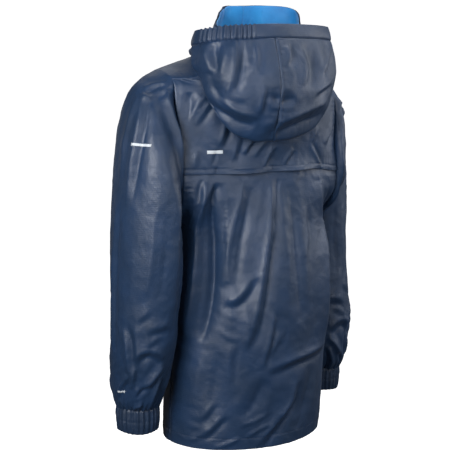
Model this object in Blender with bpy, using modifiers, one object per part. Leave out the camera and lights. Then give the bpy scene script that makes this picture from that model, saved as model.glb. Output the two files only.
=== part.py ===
"""Child's hooded rain jacket, filled out as if worn.

Every piece that a maker cuts is one closed solid: a cloth wall whose outer face is
worked out from the tables below, with its inner face moved in along the seam normals.
X runs to the wearer's left, Y to the wearer's back and Z up.  Lengths are in
millimetres until a mesh is made.  The origin is the middle of the neck opening.
"""
import math
from collections import defaultdict

import bmesh
import bpy
import numpy as np

COLLECTION = "rain_jacket"
MM = 0.001

# Cloth and seams
WALL = 1.5            # cloth wall, with its turned seam edges
SEAM_GAP = 0.3        # clear slit between two sewn pieces
LINING_WALL = 1.2
LINING_GAP = 0.5      # between the collar's wall and its lining

# Neck ring, an ellipse about the neck's middle
NECK_MIDDLE_Y = -5.0
NECK_HALF_WIDTH = 68.0
NECK_HALF_DEPTH = 58.0

# Columns of each panel, and steps round a sleeve
HALF_BACK_COLUMNS = 10
FRONT_COLUMNS = 8
SLEEVE_STEPS = 24
SADDLE_ROWS = 4       # rows from the neck to the shoulder corner

# Body rows are counted down from the neck: 0 to 4 along the saddle strip, 4 to 14 down
# the armhole to the underarm, and 14 to 23 down the side seam to the hem.
CORNER_ROW = 4
VENT_ROW = 10
UNDERARM_ROW = 14
HEM_ROW = 23

# Front zip
ZIP_HALF_GAP = 7.0    # from the middle to each front edge


def column(table, *names):
    """The named columns of a table whose first row holds its column names."""
    places = [table[0].index(name) for name in names]
    return np.array([[row[place] for place in places] for row in table[1:]], float)


def smooth(knots, values, at):
    """A cubic curve through the values at the knots, read at the given places."""
    knots = np.asarray(knots, float).ravel()
    values = np.asarray(values, float)
    at = np.atleast_1d(np.asarray(at, float))
    slopes = np.gradient(values, knots, axis=0)
    low = np.clip(np.searchsorted(knots, at, side="right") - 1, 0, len(knots) - 2)
    span = knots[low + 1] - knots[low]
    part = (at - knots[low]) / span
    shape = (-1,) + (1,) * (values.ndim - 1)
    part = part.reshape(shape)
    span = span.reshape(shape)
    return ((1 + 2 * part) * (1 - part) ** 2 * values[low]
            + part * (1 - part) ** 2 * span * slopes[low]
            + part ** 2 * (3 - 2 * part) * values[low + 1]
            + part ** 2 * (part - 1) * span * slopes[low + 1])


def unit(vectors):
    """The vectors at length one."""
    lengths = np.linalg.norm(vectors, axis=-1, keepdims=True)
    return vectors / np.maximum(lengths, 1e-9)


def bump(distance, width):
    """A soft hump, 1 in its middle and gone past twice its width."""
    return np.exp(-(np.asarray(distance) / width) ** 2)


# ---------------------------------------------------------------- seam lines

# Armhole seam of the left side: 24 steps from the shoulder ridge, back over the
# shoulder, down the back to the underarm (12) and up the front.
ARMHOLE = (
    ("step", "x", "y", "z"),
    (0, 138, -24, -35),
    (2, 135, 13, -46),
    (4, 134, 21, -78),
    (6, 129.5, 26, -120),
    (8, 127, 29, -171),
    (10, 123, 17, -216),
    (12, 117, -24, -241),
    (14, 119, -62, -216),
    (16, 123, -76, -171),
    (18, 128, -76, -120),
    (20, 133, -70, -80),
    (22, 135, -61, -50),
)

# Saddle strip over the left shoulder, from the neck (0) to the armhole (1): its back
# seam, the shoulder ridge and its front seam.
SADDLE = (
    ("along", "back_x", "back_y", "back_z", "ridge_x", "ridge_y", "ridge_z",
     "front_x", "front_y", "front_z"),
    (0.0, 45.5, 38.1, -12, 68, -5, -9, 45.5, -48.1, -22),
    (0.5, 98, 29, -41, 104, -20, -23.5, 94, -60, -38),
    (1.0, 135, 13, -46, 138, -24, -35, 135, -61, -50),
)

# Side seams below the underarm. The body hangs fuller on the right, where no sleeve
# presses it in.
SIDE = (
    ("row", "left_x", "right_x", "y", "z"),
    (14, 117, 117, -24, -241),
    (15, 113, 123, -24, -266),
    (16, 112, 133, -24, -298),
    (18, 113, 131, -23, -370),
    (20, 116, 124, -21, -450),
    (22, 119, 120, -20, -525),
    (23, 119, 117, -20, -554),
)

# Middle of the back: its height, its depth and how far a row turns by its edge
BACK_MIDDLE = (
    ("row", "y", "z", "turn"),
    (0, 53, -14, 42),
    (2, 57, -38, 38),
    (4, 58.5, -62, 34),
    (6, 58, -94, 34),
    (8, 55, -132, 34),
    (10, 51, -171, 38),
    (12, 58, -216, 56),
    (14, 66, -250, 80),
    (16, 73, -299, 89),
    (18, 78, -370, 90),
    (20, 77, -450, 90),
    (22, 74, -525, 90),
    (23, 72, -554, 90),
)

# Middle of the front, at the zip edge
FRONT_MIDDLE = (
    ("row", "y", "z", "turn"),
    (0, -62.5, -34, 42),
    (2, -70, -52, 38),
    (4, -81, -76, 36),
    (6, -91, -102, 36),
    (8, -100, -134, 38),
    (10, -107, -172, 44),
    (12, -112, -216, 60),
    (14, -116, -250, 80),
    (16, -119, -299, 89),
    (18, -120, -370, 90),
    (20, -117, -450, 90),
    (22, -114, -525, 90),
    (23, -113, -554, 90),
)

# The right shoulder hangs lower and closer in than the left one.
RIGHT_DROP = 22.0
RIGHT_DRAW_IN = 12.0
RIGHT_DROP_X = (60.0, 140.0)      # where across the shoulder it begins and is full
RIGHT_DROP_Z = (-225.0, -100.0)   # the same going up


def armhole_points(steps):
    """Points of the left armhole seam at the given steps."""
    knots = column(ARMHOLE, "step").ravel()
    values = column(ARMHOLE, "x", "y", "z")
    knots = np.concatenate([knots - SLEEVE_STEPS, knots, knots + SLEEVE_STEPS])
    return smooth(knots, np.concatenate([values, values, values]), steps)


def saddle_seam(side, along):
    """Points of one saddle seam or of the ridge, from the neck to the armhole."""
    names = [side + "_" + axis for axis in "xyz"]
    return smooth(column(SADDLE, "along"), column(SADDLE, *names), along)


def ease(values, low, high):
    """0 below low, 1 above high and a soft change between."""
    part = np.clip((values - low) / (high - low), 0, 1)
    return part * part * (3 - 2 * part)


def right_side(points):
    """Points worked out on the left, moved to the right and settled on that shoulder."""
    settle = ease(points[..., 0], *RIGHT_DROP_X) * ease(points[..., 2], *RIGHT_DROP_Z)
    moved = points * np.array((-1.0, 1.0, 1.0))
    moved[..., 0] += RIGHT_DRAW_IN * settle
    moved[..., 2] -= RIGHT_DROP * settle
    return moved


def body_edges(rows, front, right):
    """Side edge of a body panel at each row: saddle seam, armhole, side seam."""
    points = []
    side_x = "right_x" if right else "left_x"
    for row in rows:
        if row <= CORNER_ROW:
            seam = saddle_seam("front" if front else "back", row / CORNER_ROW)
        elif row <= UNDERARM_ROW:
            step = row - CORNER_ROW + 2
            seam = armhole_points(SLEEVE_STEPS - step if front else step)
        else:
            seam = smooth(column(SIDE, "row"), column(SIDE, side_x, "y", "z"), row)
        points.append(seam[0])
    return np.array(points)


# ---------------------------------------------------------------- largest folds

# Soft troughs and ridges of the lower back, each along a line from its top to its
# bottom; a positive depth goes in.
BACK_FOLDS = (
    ("top_x", "top_z", "foot_x", "foot_z", "width", "depth"),
    (3, -178, 34, -400, 11, 6),
    (30, -185, 52, -345, 14, -5),
    (97, -205, 108, -430, 13, 8),
    (76, -190, 80, -380, 13, -4),
    (-38, -215, 4, -395, 15, 4),
    (-84, -215, -62, -420, 18, -4),
    (-104, -240, -92, -470, 13, 6),
)

# The same for the two fronts, on the left side and mirrored for the right
FRONT_FOLDS = (
    ("top_x", "top_z", "foot_x", "foot_z", "width", "depth"),
    (98, -215, 88, -400, 13, 6),
    (62, -150, 54, -330, 15, -4),
    (30, -250, 38, -470, 14, 4),
)


def fold_depth(points, table):
    """How far in each point goes for the folds of a table."""
    total = np.zeros(points.shape[:-1])
    for top_x, top_z, foot_x, foot_z, width, depth in table[1:]:
        along = np.array((foot_x - top_x, foot_z - top_z), float)
        length = np.linalg.norm(along)
        along /= length
        reach = (points[..., 0] - top_x) * along[0] + (points[..., 2] - top_z) * along[1]
        across = (points[..., 0] - top_x) * along[1] - (points[..., 2] - top_z) * along[0]
        part = np.clip(reach / length, 0, 1)
        total += depth * bump(across, width) * np.sin(math.pi * part) ** 0.8
    return total


# ---------------------------------------------------------------- body panels

def half_body(rows, front, right):
    """Outer points of half the back or of one front, from its middle to its edge."""
    edges = body_edges(rows, front, right)
    table = FRONT_MIDDLE if front else BACK_MIDDLE
    middle = smooth(column(table, "row"), column(table, "y", "z", "turn"), rows)
    start = ZIP_HALF_GAP if front else 0.0
    places = np.linspace(0, 1, (FRONT_COLUMNS if front else HALF_BACK_COLUMNS) + 1)
    turn = np.radians(middle[:, 2:3])
    lean = np.sin(turn * places) / np.sin(turn)
    rise = (np.cos(turn * places) - np.cos(turn)) / (1 - np.cos(turn))
    grid = np.empty((len(rows), len(places), 3))
    grid[..., 0] = start + lean * (edges[:, 0:1] - start)
    grid[..., 1] = edges[:, 1:2] + rise * (middle[:, 0:1] - edges[:, 1:2])
    grid[..., 2] = edges[:, 2:3] + rise * (middle[:, 1:2] - edges[:, 2:3])
    side = np.array((-1.0 if right and not front else 1.0, 1.0, 1.0))
    inward = fold_depth(grid * side, FRONT_FOLDS if front else BACK_FOLDS)
    free = np.clip((1 - places) / 0.2, 0, 1)
    if front:
        free = free * np.clip(places / 0.2, 0, 1)
    grid[..., 1] += inward * free * (1 if front else -1)
    return right_side(grid) if right else grid


def back_grid(rows):
    """Outer points of the back, from the right edge to the left edge."""
    left = half_body(rows, False, False)
    right = half_body(rows, False, True)
    return np.concatenate([right[:, :0:-1], left], axis=1)


def grid_faces(rows, columns, ring=False, first=0):
    """Quads of a grid of points, counted along its rows."""
    faces = []
    for row in range(rows - 1):
        for place in range(columns if ring else columns - 1):
            beside = (place + 1) % columns
            here = first + row * columns
            there = here + columns
            faces.append((here + place, here + beside, there + beside, there + place))
    return faces


def turned(faces):
    """The faces seen from the other side."""
    return [tuple(reversed(face)) for face in faces]


def flat(grid):
    """A grid of points as one list of points."""
    return grid.reshape(-1, 3)


# ---------------------------------------------------------------- sleeves

# Rings of the left sleeve below the armhole, each an oval across the arm: its outer and
# inner point, the middle of its depth and half of its depth.
SLEEVE = (
    ("ring", "outer_x", "outer_z", "inner_x", "inner_z", "middle_y", "half_depth"),
    (1, 158, -45, 127, -251, -22, 56),
    (2, 176, -60, 125, -260, -16, 60),
    (3, 191, -92, 122, -270, -10, 62),
    (4, 200, -140, 119, -281, -8, 61),
    (5, 205, -200, 117, -300, -8, 60),
    (6, 206, -262, 117, -328, -10, 59),
    (7, 206, -322, 117, -358, -13, 57),
    (8, 206, -378, 119, -394, -15, 54),
    (9, 205, -424, 122, -430, -20, 50),
    (10, 202, -458, 127, -460, -25, 45),
    (11, 199, -482, 132, -482, -27, 38),
    (12, 194, -497, 136, -497, -28, 29.5),
)
SLEEVE_ROWS = 17
# The right arm is held further forward
RIGHT_SLEEVE_SHIFT = (7.0, -86.0, 0.0)
RIGHT_SHIFT_RING = 4.5    # the ring where that shift is full
RIGHT_WRIST_SHIFT = (-1.0, 43.0, 0.0)    # and back again towards the wrist
RIGHT_WRIST_RINGS = (5.0, 11.0)

# Folds of a sleeve: where round it (0 outer, 6 back, 12 inner, 18 front), from which
# ring to which, with a turn round the sleeve on the way down.
SLEEVE_FOLDS = (
    ("step", "top_ring", "foot_ring", "turn_steps", "width_steps", "depth"),
    (4.2, 0.3, 5.5, -1.6, 1.1, 4),
    (7.2, 1.2, 6.5, 0.8, 1.1, -3),
    (9.6, 5.0, 9.0, -1.4, 1.2, 5),
    (2.6, 8.4, 11.2, -1.2, 1.0, 4),
    (6.0, 8.8, 11.4, 1.2, 1.0, -4),
    (15.0, 5.0, 9.0, 1.4, 1.3, 5),
    (19.5, 0.6, 6.0, 1.5, 1.3, 4),
    (21.5, 8.2, 11.2, 1.2, 1.1, 4),
)


def sleeve_grid(right):
    """Outer points of the left sleeve, or of the right one still on the left side."""
    steps = np.arange(SLEEVE_STEPS)
    angle = 2 * math.pi * steps / SLEEVE_STEPS
    rings = [armhole_points(steps)]
    for row in column(SLEEVE, *SLEEVE[0][1:]):
        outer_x, outer_z, inner_x, inner_z, middle_y, half_depth = row
        swing = np.cos(angle)
        rings.append(np.stack([
            (outer_x + inner_x) / 2 + (outer_x - inner_x) / 2 * swing,
            middle_y + half_depth * np.sin(angle),
            (outer_z + inner_z) / 2 + (outer_z - inner_z) / 2 * swing], axis=1))
    rings = np.array(rings)
    knots = np.arange(len(rings), dtype=float)
    at = np.linspace(0, knots[-1], SLEEVE_ROWS)
    grid = smooth(knots, rings, at)
    middle = grid.mean(axis=1, keepdims=True)
    outward = unit(grid - middle)
    inward = np.zeros(grid.shape[:2])
    for step, top_ring, foot_ring, turn_steps, width_steps, depth in SLEEVE_FOLDS[1:]:
        part = np.clip((at - top_ring) / (foot_ring - top_ring), 0, 1)[:, None]
        across = (steps - step - turn_steps * part + 12) % SLEEVE_STEPS - 12
        inward += depth * bump(across, width_steps) * np.sin(math.pi * part)
    grid -= outward * inward[..., None]
    if right:
        down = ease(at, 0.0, RIGHT_SHIFT_RING)
        grid += down[:, None, None] * np.array(RIGHT_SLEEVE_SHIFT)
        down = ease(at, *RIGHT_WRIST_RINGS)
        grid += down[:, None, None] * np.array(RIGHT_WRIST_SHIFT)
    return grid


def saddle_grid():
    """Outer points of the saddle strip, from the neck to the armhole's top steps."""
    grid = []
    for row in range(SADDLE_ROWS):
        along = row / SADDLE_ROWS
        seams = [saddle_seam(side, along)[0] for side in ("back", "ridge", "front")]
        grid.append(smooth((0, 1, 2), np.array(seams), np.linspace(0, 2, 5)))
    return np.array(grid)


def sleeve_piece(right):
    """Points and faces of one sleeve with its saddle strip, on the left side."""
    tube = sleeve_grid(right)
    saddle = saddle_grid()
    first = tube.shape[0] * SLEEVE_STEPS
    points = np.concatenate([flat(tube), flat(saddle)])
    faces = turned(grid_faces(tube.shape[0], SLEEVE_STEPS, ring=True))
    faces += grid_faces(SADDLE_ROWS, 5, first=first)
    last = first + (SADDLE_ROWS - 1) * 5
    top = [2, 1, 0, SLEEVE_STEPS - 1, SLEEVE_STEPS - 2]
    for place in range(4):
        faces.append((last + place, last + place + 1, top[place + 1], top[place]))
    return points, faces


# ---------------------------------------------------------------- closed cloth walls

MOST_MITRE = 1.6    # how much longer than the wall a sharp seam's rim may be


def corner_key(point):
    """A name for a place, the same for two pieces that meet there."""
    return tuple(np.round(point, 3) + 0.0)


def seam_normals(pieces):
    """Outward normals of all pieces as one skin, so both sides of a seam agree.

    Each face counts by its angle at the corner, so narrow and wide faces count alike.
    Where the faces meet at a sharp angle the normal is longer than one, for the mitre.
    """
    total = defaultdict(lambda: np.zeros(3))
    angle_sum = defaultdict(float)
    for points, faces in pieces:
        for face in faces:
            corners = points[list(face)]
            normal = unit(np.cross(corners[2] - corners[0], corners[3] - corners[1]))
            to_next = unit(np.roll(corners, -1, axis=0) - corners)
            to_last = unit(np.roll(corners, 1, axis=0) - corners)
            angles = np.arccos(np.clip(np.sum(to_next * to_last, axis=1), -1, 1))
            for corner, angle in zip(corners, angles):
                total[corner_key(corner)] += angle * normal
                angle_sum[corner_key(corner)] += angle
    shared = []
    for points, faces in pieces:
        keys = [corner_key(point) for point in points]
        mean = np.array([total[key] / angle_sum[key] for key in keys])
        facing = np.linalg.norm(mean, axis=1, keepdims=True)
        shared.append(unit(mean) * np.minimum(1 / facing, MOST_MITRE))
    return shared


def trimmed(points, faces, cut=SEAM_GAP / 2):
    """The points with every free edge moved in along the surface by the cut."""
    sides = {}
    for face in faces:
        for place in range(4):
            sides[(face[place], face[(place + 1) % 4])] = face
    inward = defaultdict(list)
    for (start, end), face in sides.items():
        if (end, start) in sides:
            continue
        first, second, third, fourth = points[list(face)]
        normal = np.cross(third - first, fourth - second)
        into = unit(np.cross(normal, points[end] - points[start]))
        inward[start].append(into)
        inward[end].append(into)
    moved = points.copy()
    for place, directions in inward.items():
        total = sum(directions)
        moved[place] += cut * total / (1 + max(directions[0] @ directions[-1], -0.5))
    return moved


def cloth_solid(name, points, faces, normals, material, wall=WALL, lift=0.0, gap=SEAM_GAP):
    """One closed wall: the outer face, its copy moved in by the wall, and the rims."""
    outer = trimmed(points, faces, gap / 2) + normals * np.reshape(lift, (-1, 1))
    inner = outer - normals * np.reshape(wall, (-1, 1))
    count = len(points)
    used = {(face[place], face[(place + 1) % 4]) for face in faces for place in range(4)}
    solid_faces = list(faces) + [tuple(count + corner for corner in reversed(face))
                                 for face in faces]
    for start, end in sorted(used):
        if (end, start) in used:
            continue
        # The rim's diagonal goes the same way on both sides of a seam
        if corner_key(points[start]) < corner_key(points[end]):
            solid_faces.append((end, start, count + end))
            solid_faces.append((start, count + start, count + end))
        else:
            solid_faces.append((end, start, count + start))
            solid_faces.append((end, count + start, count + end))
    mesh = bpy.data.meshes.new(name)
    mesh.from_pydata([tuple(point * MM) for point in np.concatenate([outer, inner])],
                     [], solid_faces)
    mesh.validate()
    return add_object(name, mesh, material)


def add_object(name, mesh, material, flat_shaded=False):
    """Link a mesh as a named piece with its material."""
    piece = bpy.data.objects.new(name, mesh)
    bpy.data.collections[COLLECTION].objects.link(piece)
    mesh.materials.append(material)
    for polygon in mesh.polygons:
        polygon.use_smooth = not flat_shaded
    return piece


# ---------------------------------------------------------------- collar

# Top edge of the collar round the neck, from the back (0) to the zip (180)
COLLAR_TOP = (
    ("angle", "left_z", "right_z"),
    (0, 12, 12),
    (40, 15, 18),
    (80, 21, 38),
    (120, 32, 47),
    (150, 45, 49),
    (180, 49, 49),
)
COLLAR_TOP_HALF_WIDTH = 64.0
COLLAR_TOP_HALF_DEPTH = 52.0
COLLAR_LEAN = 7.0     # how far its top leans to the wearer's right
COLLAR_ROWS = 4
COLLAR_BULGE = 2.0
ZIP_DEPTH = 2.2       # room for the zip between collar and lining, at the front only


def neck_angle(points):
    """Angle round the neck in degrees, 0 at the back and growing to the left."""
    across = points[..., 0] / NECK_HALF_WIDTH
    back = (points[..., 1] - NECK_MIDDLE_Y) / NECK_HALF_DEPTH
    return np.degrees(np.arctan2(across, back))


def collar_grid(neckline):
    """Outer points of the collar, on the neckline points that the body panels give."""
    angle = neck_angle(neckline)
    narrow = COLLAR_TOP_HALF_WIDTH / NECK_HALF_WIDTH
    frontal = np.clip(-np.cos(np.radians(angle)), 0, 1) ** 2
    top = np.empty_like(neckline)
    top[:, 0] = neckline[:, 0] * narrow
    top[:, 0] += np.sign(neckline[:, 0]) * ZIP_HALF_GAP * (1 - narrow) * frontal
    top[:, 0] -= COLLAR_LEAN * (1 - frontal)
    top[:, 1] = NECK_MIDDLE_Y + COLLAR_TOP_HALF_DEPTH * np.cos(np.radians(angle))
    heights = smooth(column(COLLAR_TOP, "angle"),
                     column(COLLAR_TOP, "left_z", "right_z"), np.abs(angle))
    top[:, 2] = np.where(angle < 0, heights[:, 1], heights[:, 0])
    outward = unit((neckline - (0, NECK_MIDDLE_Y, 0)) * (1, 1, 0))
    grid = []
    for row in range(COLLAR_ROWS + 1):
        part = row / COLLAR_ROWS
        swell = COLLAR_BULGE * math.sin(math.pi * part)
        grid.append(neckline + part * (top - neckline) + swell * outward)
    return np.array(grid)


# ---------------------------------------------------------------- hood

# Sections of the hood pouch at angles round the neck, 0 at the back: where it lies by
# the back, its bottom, its widest place and its opening edge, as a distance from the
# neck's middle and a height.
HOOD = (
    ("angle", "inner_r", "inner_z", "bottom_r", "bottom_z",
     "belly_r", "belly_z", "rim_r", "rim_z"),
    (0, 74, -66, 88, -126, 112, -66, 90, 28),
    (25, 77, -62, 91, -123, 113, -64, 93, 27),
    (45, 88, -52, 101, -109, 118, -56, 101, 25),
    (60, 95, -38, 109, -80, 120, -40, 107, 22),
    (68, 95, -30, 111, -50, 115, -26, 105, 20),
    (75, 93, -23, 107, -33, 110, -13, 104, 18),
    (90, 84, -10, 93, -15, 95, -3, 91, 14),
    (110, 75, -11, 81, -14, 83, -4, 80, 10),
    (130, 70, -17, 75, -20, 78, -10, 76, 2),
    (150, 68, -27, 73, -30, 76, -20, 75, -6),
    (162, 66, -30, 70, -33, 74, -26, 74, -13),
)
HOOD_END = 160        # angle of each front end
HOOD_SHIFT = 25.0     # how far the pouch hangs to the wearer's left
HOOD_NECK_OUT = 2.2
HOOD_NECK_UP = 1.4
HOOD_COLUMNS = 14     # in each half
HOOD_ROWS = 11
HOOD_SEAM_GAP = 0.45
CASING_DEPTH = 18.0
CASING_GAP = 0.3
CASING_WALL = 3.0
CASING_LIFT = 0.7
GATHERS = 12
GATHER_FROM = 72.0
GATHER_TO = 16.0
GATHER_HEIGHT = 1.2
WAVE_COLUMNS = 3      # columns of points in each gather
SMOOTH_STEPS = 60

# Folds of the hood: angles at the top and foot, reach along the section, and depth
HOOD_FOLDS = (
    ("top_angle", "foot_angle", "start", "end", "width", "depth"),
    (62, 48, 0.50, 0.99, 7, 5),
    (50, 38, 0.50, 0.99, 6, -4),
    (38, 24, 0.45, 0.99, 7, 5),
    (24, 6, 0.42, 0.90, 6, -3),
    (-20, -8, 0.48, 0.80, 12, 4),
    (-60, -40, 0.40, 0.75, 12, 4),
    (-100, -90, 0.30, 0.98, 8, 3),
)


def neck_ring(angle):
    """Point of the neck ring at a true angle from the neck's middle."""
    back, left = math.cos(math.radians(angle)), math.sin(math.radians(angle))
    reach = 1 / math.hypot(left / NECK_HALF_WIDTH, back / NECK_HALF_DEPTH)
    height = smooth((0, 42, 90, 138, 180), np.array((-14, -12, -9, -22, -34)), abs(angle))
    return reach, height[0]


def hood_section(angle):
    """A dense line from the neck seam, under the pouch and up to its opening edge."""
    keys = smooth(column(HOOD, "angle"), column(HOOD, *HOOD[0][1:]), abs(angle))[0]
    reach, height = neck_ring(angle)
    keys = np.concatenate([(reach + HOOD_NECK_OUT, height + HOOD_NECK_UP), keys])
    keys = keys.reshape(-1, 2)
    steps = np.linalg.norm(np.diff(keys, axis=0), axis=1)
    knots = np.concatenate([(0,), np.cumsum(steps)])
    line = smooth(knots, keys, np.linspace(0, knots[-1], SMOOTH_STEPS))
    part = np.linspace(0, 1, SMOOTH_STEPS)
    inward = np.zeros(SMOOTH_STEPS)
    for top_angle, foot_angle, start, end, width, depth in HOOD_FOLDS[1:]:
        along = np.clip((part - start) / (end - start), 0, 1)
        middle = foot_angle + (top_angle - foot_angle) * along
        inward += depth * bump(angle - middle, width) * np.sin(math.pi * along)
    radians = math.radians(angle)
    reach = line[:, 0] - inward
    shift = HOOD_SHIFT * np.clip(part * 2, 0, 1) * max(0.0, math.cos(radians)) ** 2
    return np.stack([reach * math.sin(radians) + shift,
                     NECK_MIDDLE_Y + reach * math.cos(radians), line[:, 1]], axis=1)


def hood_grid(angles, rows, casing=False):
    """Outer points of the hood, up to its casing, or of the casing alone."""
    grid = []
    for angle in angles:
        line = hood_section(angle)
        steps = np.linalg.norm(np.diff(line, axis=0), axis=1)
        reach = np.concatenate([(0,), np.cumsum(steps)])
        seam = reach[-1] - CASING_DEPTH
        span = (seam + CASING_GAP, reach[-1]) if casing else (0, seam)
        at = np.linspace(*span, rows + 1)
        grid.append(np.stack([np.interp(at, reach, line[:, axis]) for axis in range(3)],
                             axis=1))
    return np.array(grid).transpose(1, 0, 2)


def casing_angles():
    """Angles of the casing's columns, and how far the gathers make each stand out."""
    before = np.linspace(HOOD_END, GATHER_FROM, 10, endpoint=False)
    gathered = np.linspace(GATHER_FROM, GATHER_TO, GATHERS * WAVE_COLUMNS, endpoint=False)
    after = np.linspace(GATHER_TO, -HOOD_END, 17)
    angles = np.concatenate([before, gathered, after])
    waves = (GATHER_FROM - angles) / (GATHER_FROM - GATHER_TO) * GATHERS
    inside = (angles < GATHER_FROM) & (angles > GATHER_TO)
    lift = np.where(inside, GATHER_HEIGHT * (0.5 - 0.5 * np.cos(2 * math.pi * waves)), 0)
    return angles, lift


# ---------------------------------------------------------------- cuffs

CUFF_DEPTH = 33.0
CUFF_WAVES = 26
CUFF_WAVE_HEIGHT = 1.5
CUFF_WALL = 2.0
CUFF_TAPER = 1.0


def cuff_piece(end_ring):
    """Points, faces and lift of one elastic cuff below the sleeve's last ring."""
    middle = end_ring.mean(axis=0)
    reach = np.abs(end_ring - middle).max(axis=0)
    count = CUFF_WAVES * WAVE_COLUMNS
    angle = 2 * math.pi * np.arange(count) / count
    grid = []
    for part in (0.0, 0.5, 1.0):
        around = np.stack([(reach[0] - CUFF_TAPER * part) * np.cos(angle),
                           (reach[1] - CUFF_TAPER * part) * np.sin(angle),
                           np.full(count, -SEAM_GAP / 2 - CUFF_DEPTH * part)], axis=1)
        grid.append(middle + around)
    wave = CUFF_WAVE_HEIGHT * (0.5 - 0.5 * np.cos(CUFF_WAVES * angle))
    faces = turned(grid_faces(3, count, ring=True))
    return flat(np.array(grid)), faces, np.tile(wave, 3)


# ---------------------------------------------------------------- back vent

VENT_TUCK_ROW = 9                # the lower back begins here, under the yoke
VENT_TACK_X = (-84.0, 0.0, 84.0)
VENT_GAPE = 4.5                  # how far the yoke's edge stands off between tacks
VENT_TUCK = WALL + SEAM_GAP      # depth of the lower back under the yoke
VENT_TUCK_SHORT = 3.0            # how far its tucked strip ends from the armhole seam


def vent_gape(grid):
    """How far the yoke's lowest rows stand off the lower back between the tacks."""
    lift = np.zeros(grid.shape[:2])
    across = grid[-1, :, 0]
    for left, right in zip(VENT_TACK_X[:-1], VENT_TACK_X[1:]):
        part = np.clip((across - left) / (right - left), 0, 1)
        lift[-1] += VENT_GAPE * np.sin(math.pi * part) ** 2
    lift[-2] = lift[-1] * 0.45
    lift[-3] = lift[-1] * 0.1
    return lift


# ---------------------------------------------------------------- materials

def cloth_material(name, colour, roughness=0.45, metallic=0.0):
    """A plain Principled material."""
    material = bpy.data.materials.new(name)
    material.use_nodes = True
    shader = material.node_tree.nodes["Principled BSDF"]
    shader.inputs["Base Color"].default_value = (*colour, 1.0)
    shader.inputs["Roughness"].default_value = roughness
    shader.inputs["Metallic"].default_value = metallic
    return material


# ---------------------------------------------------------------- zip hardware

TAPE_WALL = 0.8
TAPE_INNER_X = 2.6
TAPE_OUTER_X = 15.0
TAPE_DEPTH = WALL + SEAM_GAP
CHAIN_HALF_WIDTH = 2.3
CHAIN_DEPTH = 0.6         # how far the teeth lie below the cloth's outer face
CHAIN_WALL = 2.4
ZIP_BOX_SIZE = (4.6, 3.2, 9.0)
SLIDER_Z = 34.0
SLIDER_GAP = 0.75         # room for the collar's slant between slider and teeth
SLIDER_SIZE = (8.5, 2.4, 11.0)
ARCH_RADIUS = 3.6
ARCH_WIRE = 0.9
ARCH_SUNK = 0.4           # how far the arch's feet go into the slider
PIN_OUT = 1.35            # from the slider's face to the pull tab's hinge axis
TAB_SIZE = (6.4, 1.2, 24.0)
TAB_BAR = 0.7             # half height of the tab's top bar
TAB_WINDOW = (3.4, 5.2)   # width and height of the window round the arch
TAB_BEVEL = 0.25


def move_to(piece, collection):
    """Keep a piece in the one named collection."""
    for linked in list(piece.users_collection):
        linked.objects.unlink(piece)
    bpy.data.collections[collection].objects.link(piece)


def box_piece(name, size, middle, material, bevel, at_origin=False):
    """A bevelled box; at_origin leaves its origin at zero for a hinge to carry."""
    bpy.ops.mesh.primitive_cube_add(size=1)
    piece = bpy.context.object
    piece.name = name
    piece.data.name = name
    piece.scale = [side * MM for side in size]
    piece.location = [place * MM for place in middle]
    bpy.ops.object.transform_apply(location=at_origin, rotation=False, scale=True)
    if bevel:
        round_off = piece.modifiers.new("Rounded edges", "BEVEL")
        round_off.width = bevel * MM
        round_off.segments = 2
    piece.data.materials.append(material)
    move_to(piece, COLLECTION)
    return piece


# ---------------------------------------------------------------- assembly

def clear_scene():
    """Start from an empty scene with the jacket's own collections."""
    for thing in list(bpy.data.objects):
        bpy.data.objects.remove(thing, do_unlink=True)
    for name in (COLLECTION, COLLECTION + "_cutters"):
        collection = bpy.data.collections.new(name)
        bpy.context.scene.collection.children.link(collection)


def body_pieces():
    """Outer points and faces of the panels that share one skin."""
    rows = np.arange(0, HEM_ROW + 1)
    back = back_grid(rows)
    columns = back.shape[1]
    fronts = [half_body(rows, True, right) for right in (False, True)]
    saddles = [saddle_grid()[0], right_side(saddle_grid()[0])]
    neckline = np.concatenate([
        fronts[0][0], saddles[0][3::-1], back[0][-2::-1],
        saddles[1][1:], fronts[1][0][-2::-1]])
    collar = collar_grid(neckline)
    front_faces = grid_faces(HEM_ROW + 1, FRONT_COLUMNS + 1)
    sleeves = [sleeve_piece(False), sleeve_piece(True)]
    pieces = {
        "back_yoke": (flat(back[:VENT_ROW + 1]), grid_faces(VENT_ROW + 1, columns)),
        "back_lower": (flat(back[VENT_ROW:]), grid_faces(HEM_ROW + 1 - VENT_ROW, columns)),
        "front_left": (flat(fronts[0]), turned(front_faces)),
        "front_right": (flat(fronts[1]), front_faces),
        "sleeve_left": sleeves[0],
        "sleeve_right": (right_side(sleeves[1][0]), turned(sleeves[1][1])),
        "collar": (flat(collar), grid_faces(COLLAR_ROWS + 1, len(neckline))),
    }
    return pieces, back, fronts[0], collar


clear_scene()
navy = cloth_material("Navy coated nylon", (0.035, 0.061, 0.115))
navy_yoke = cloth_material("Navy coated nylon yoke", (0.045, 0.078, 0.145))
navy_hood = cloth_material("Navy coated nylon hood", (0.050, 0.082, 0.150))
navy_elastic = cloth_material("Navy elastic tunnel", (0.028, 0.050, 0.098), 0.5)
blue = cloth_material("Bright blue lining", (0.030, 0.260, 0.620), 0.6)
zip_cloth = cloth_material("Navy zip tape", (0.020, 0.030, 0.055), 0.8)
zip_plastic = cloth_material("Navy zip plastic", (0.015, 0.022, 0.040), 0.4)
zip_metal = cloth_material("Painted zip metal", (0.030, 0.040, 0.065), 0.35, 0.7)

skin, back, front, collar = body_pieces()
normals = dict(zip(skin, seam_normals(list(skin.values()))))

for name in ("front_left", "front_right", "sleeve_left", "sleeve_right", "collar"):
    cloth_solid(name, *skin[name], normals[name], navy)

cloth_solid("back_yoke", *skin["back_yoke"], normals["back_yoke"], navy_yoke,
            lift=vent_gape(back[:VENT_ROW + 1]).ravel())

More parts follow.
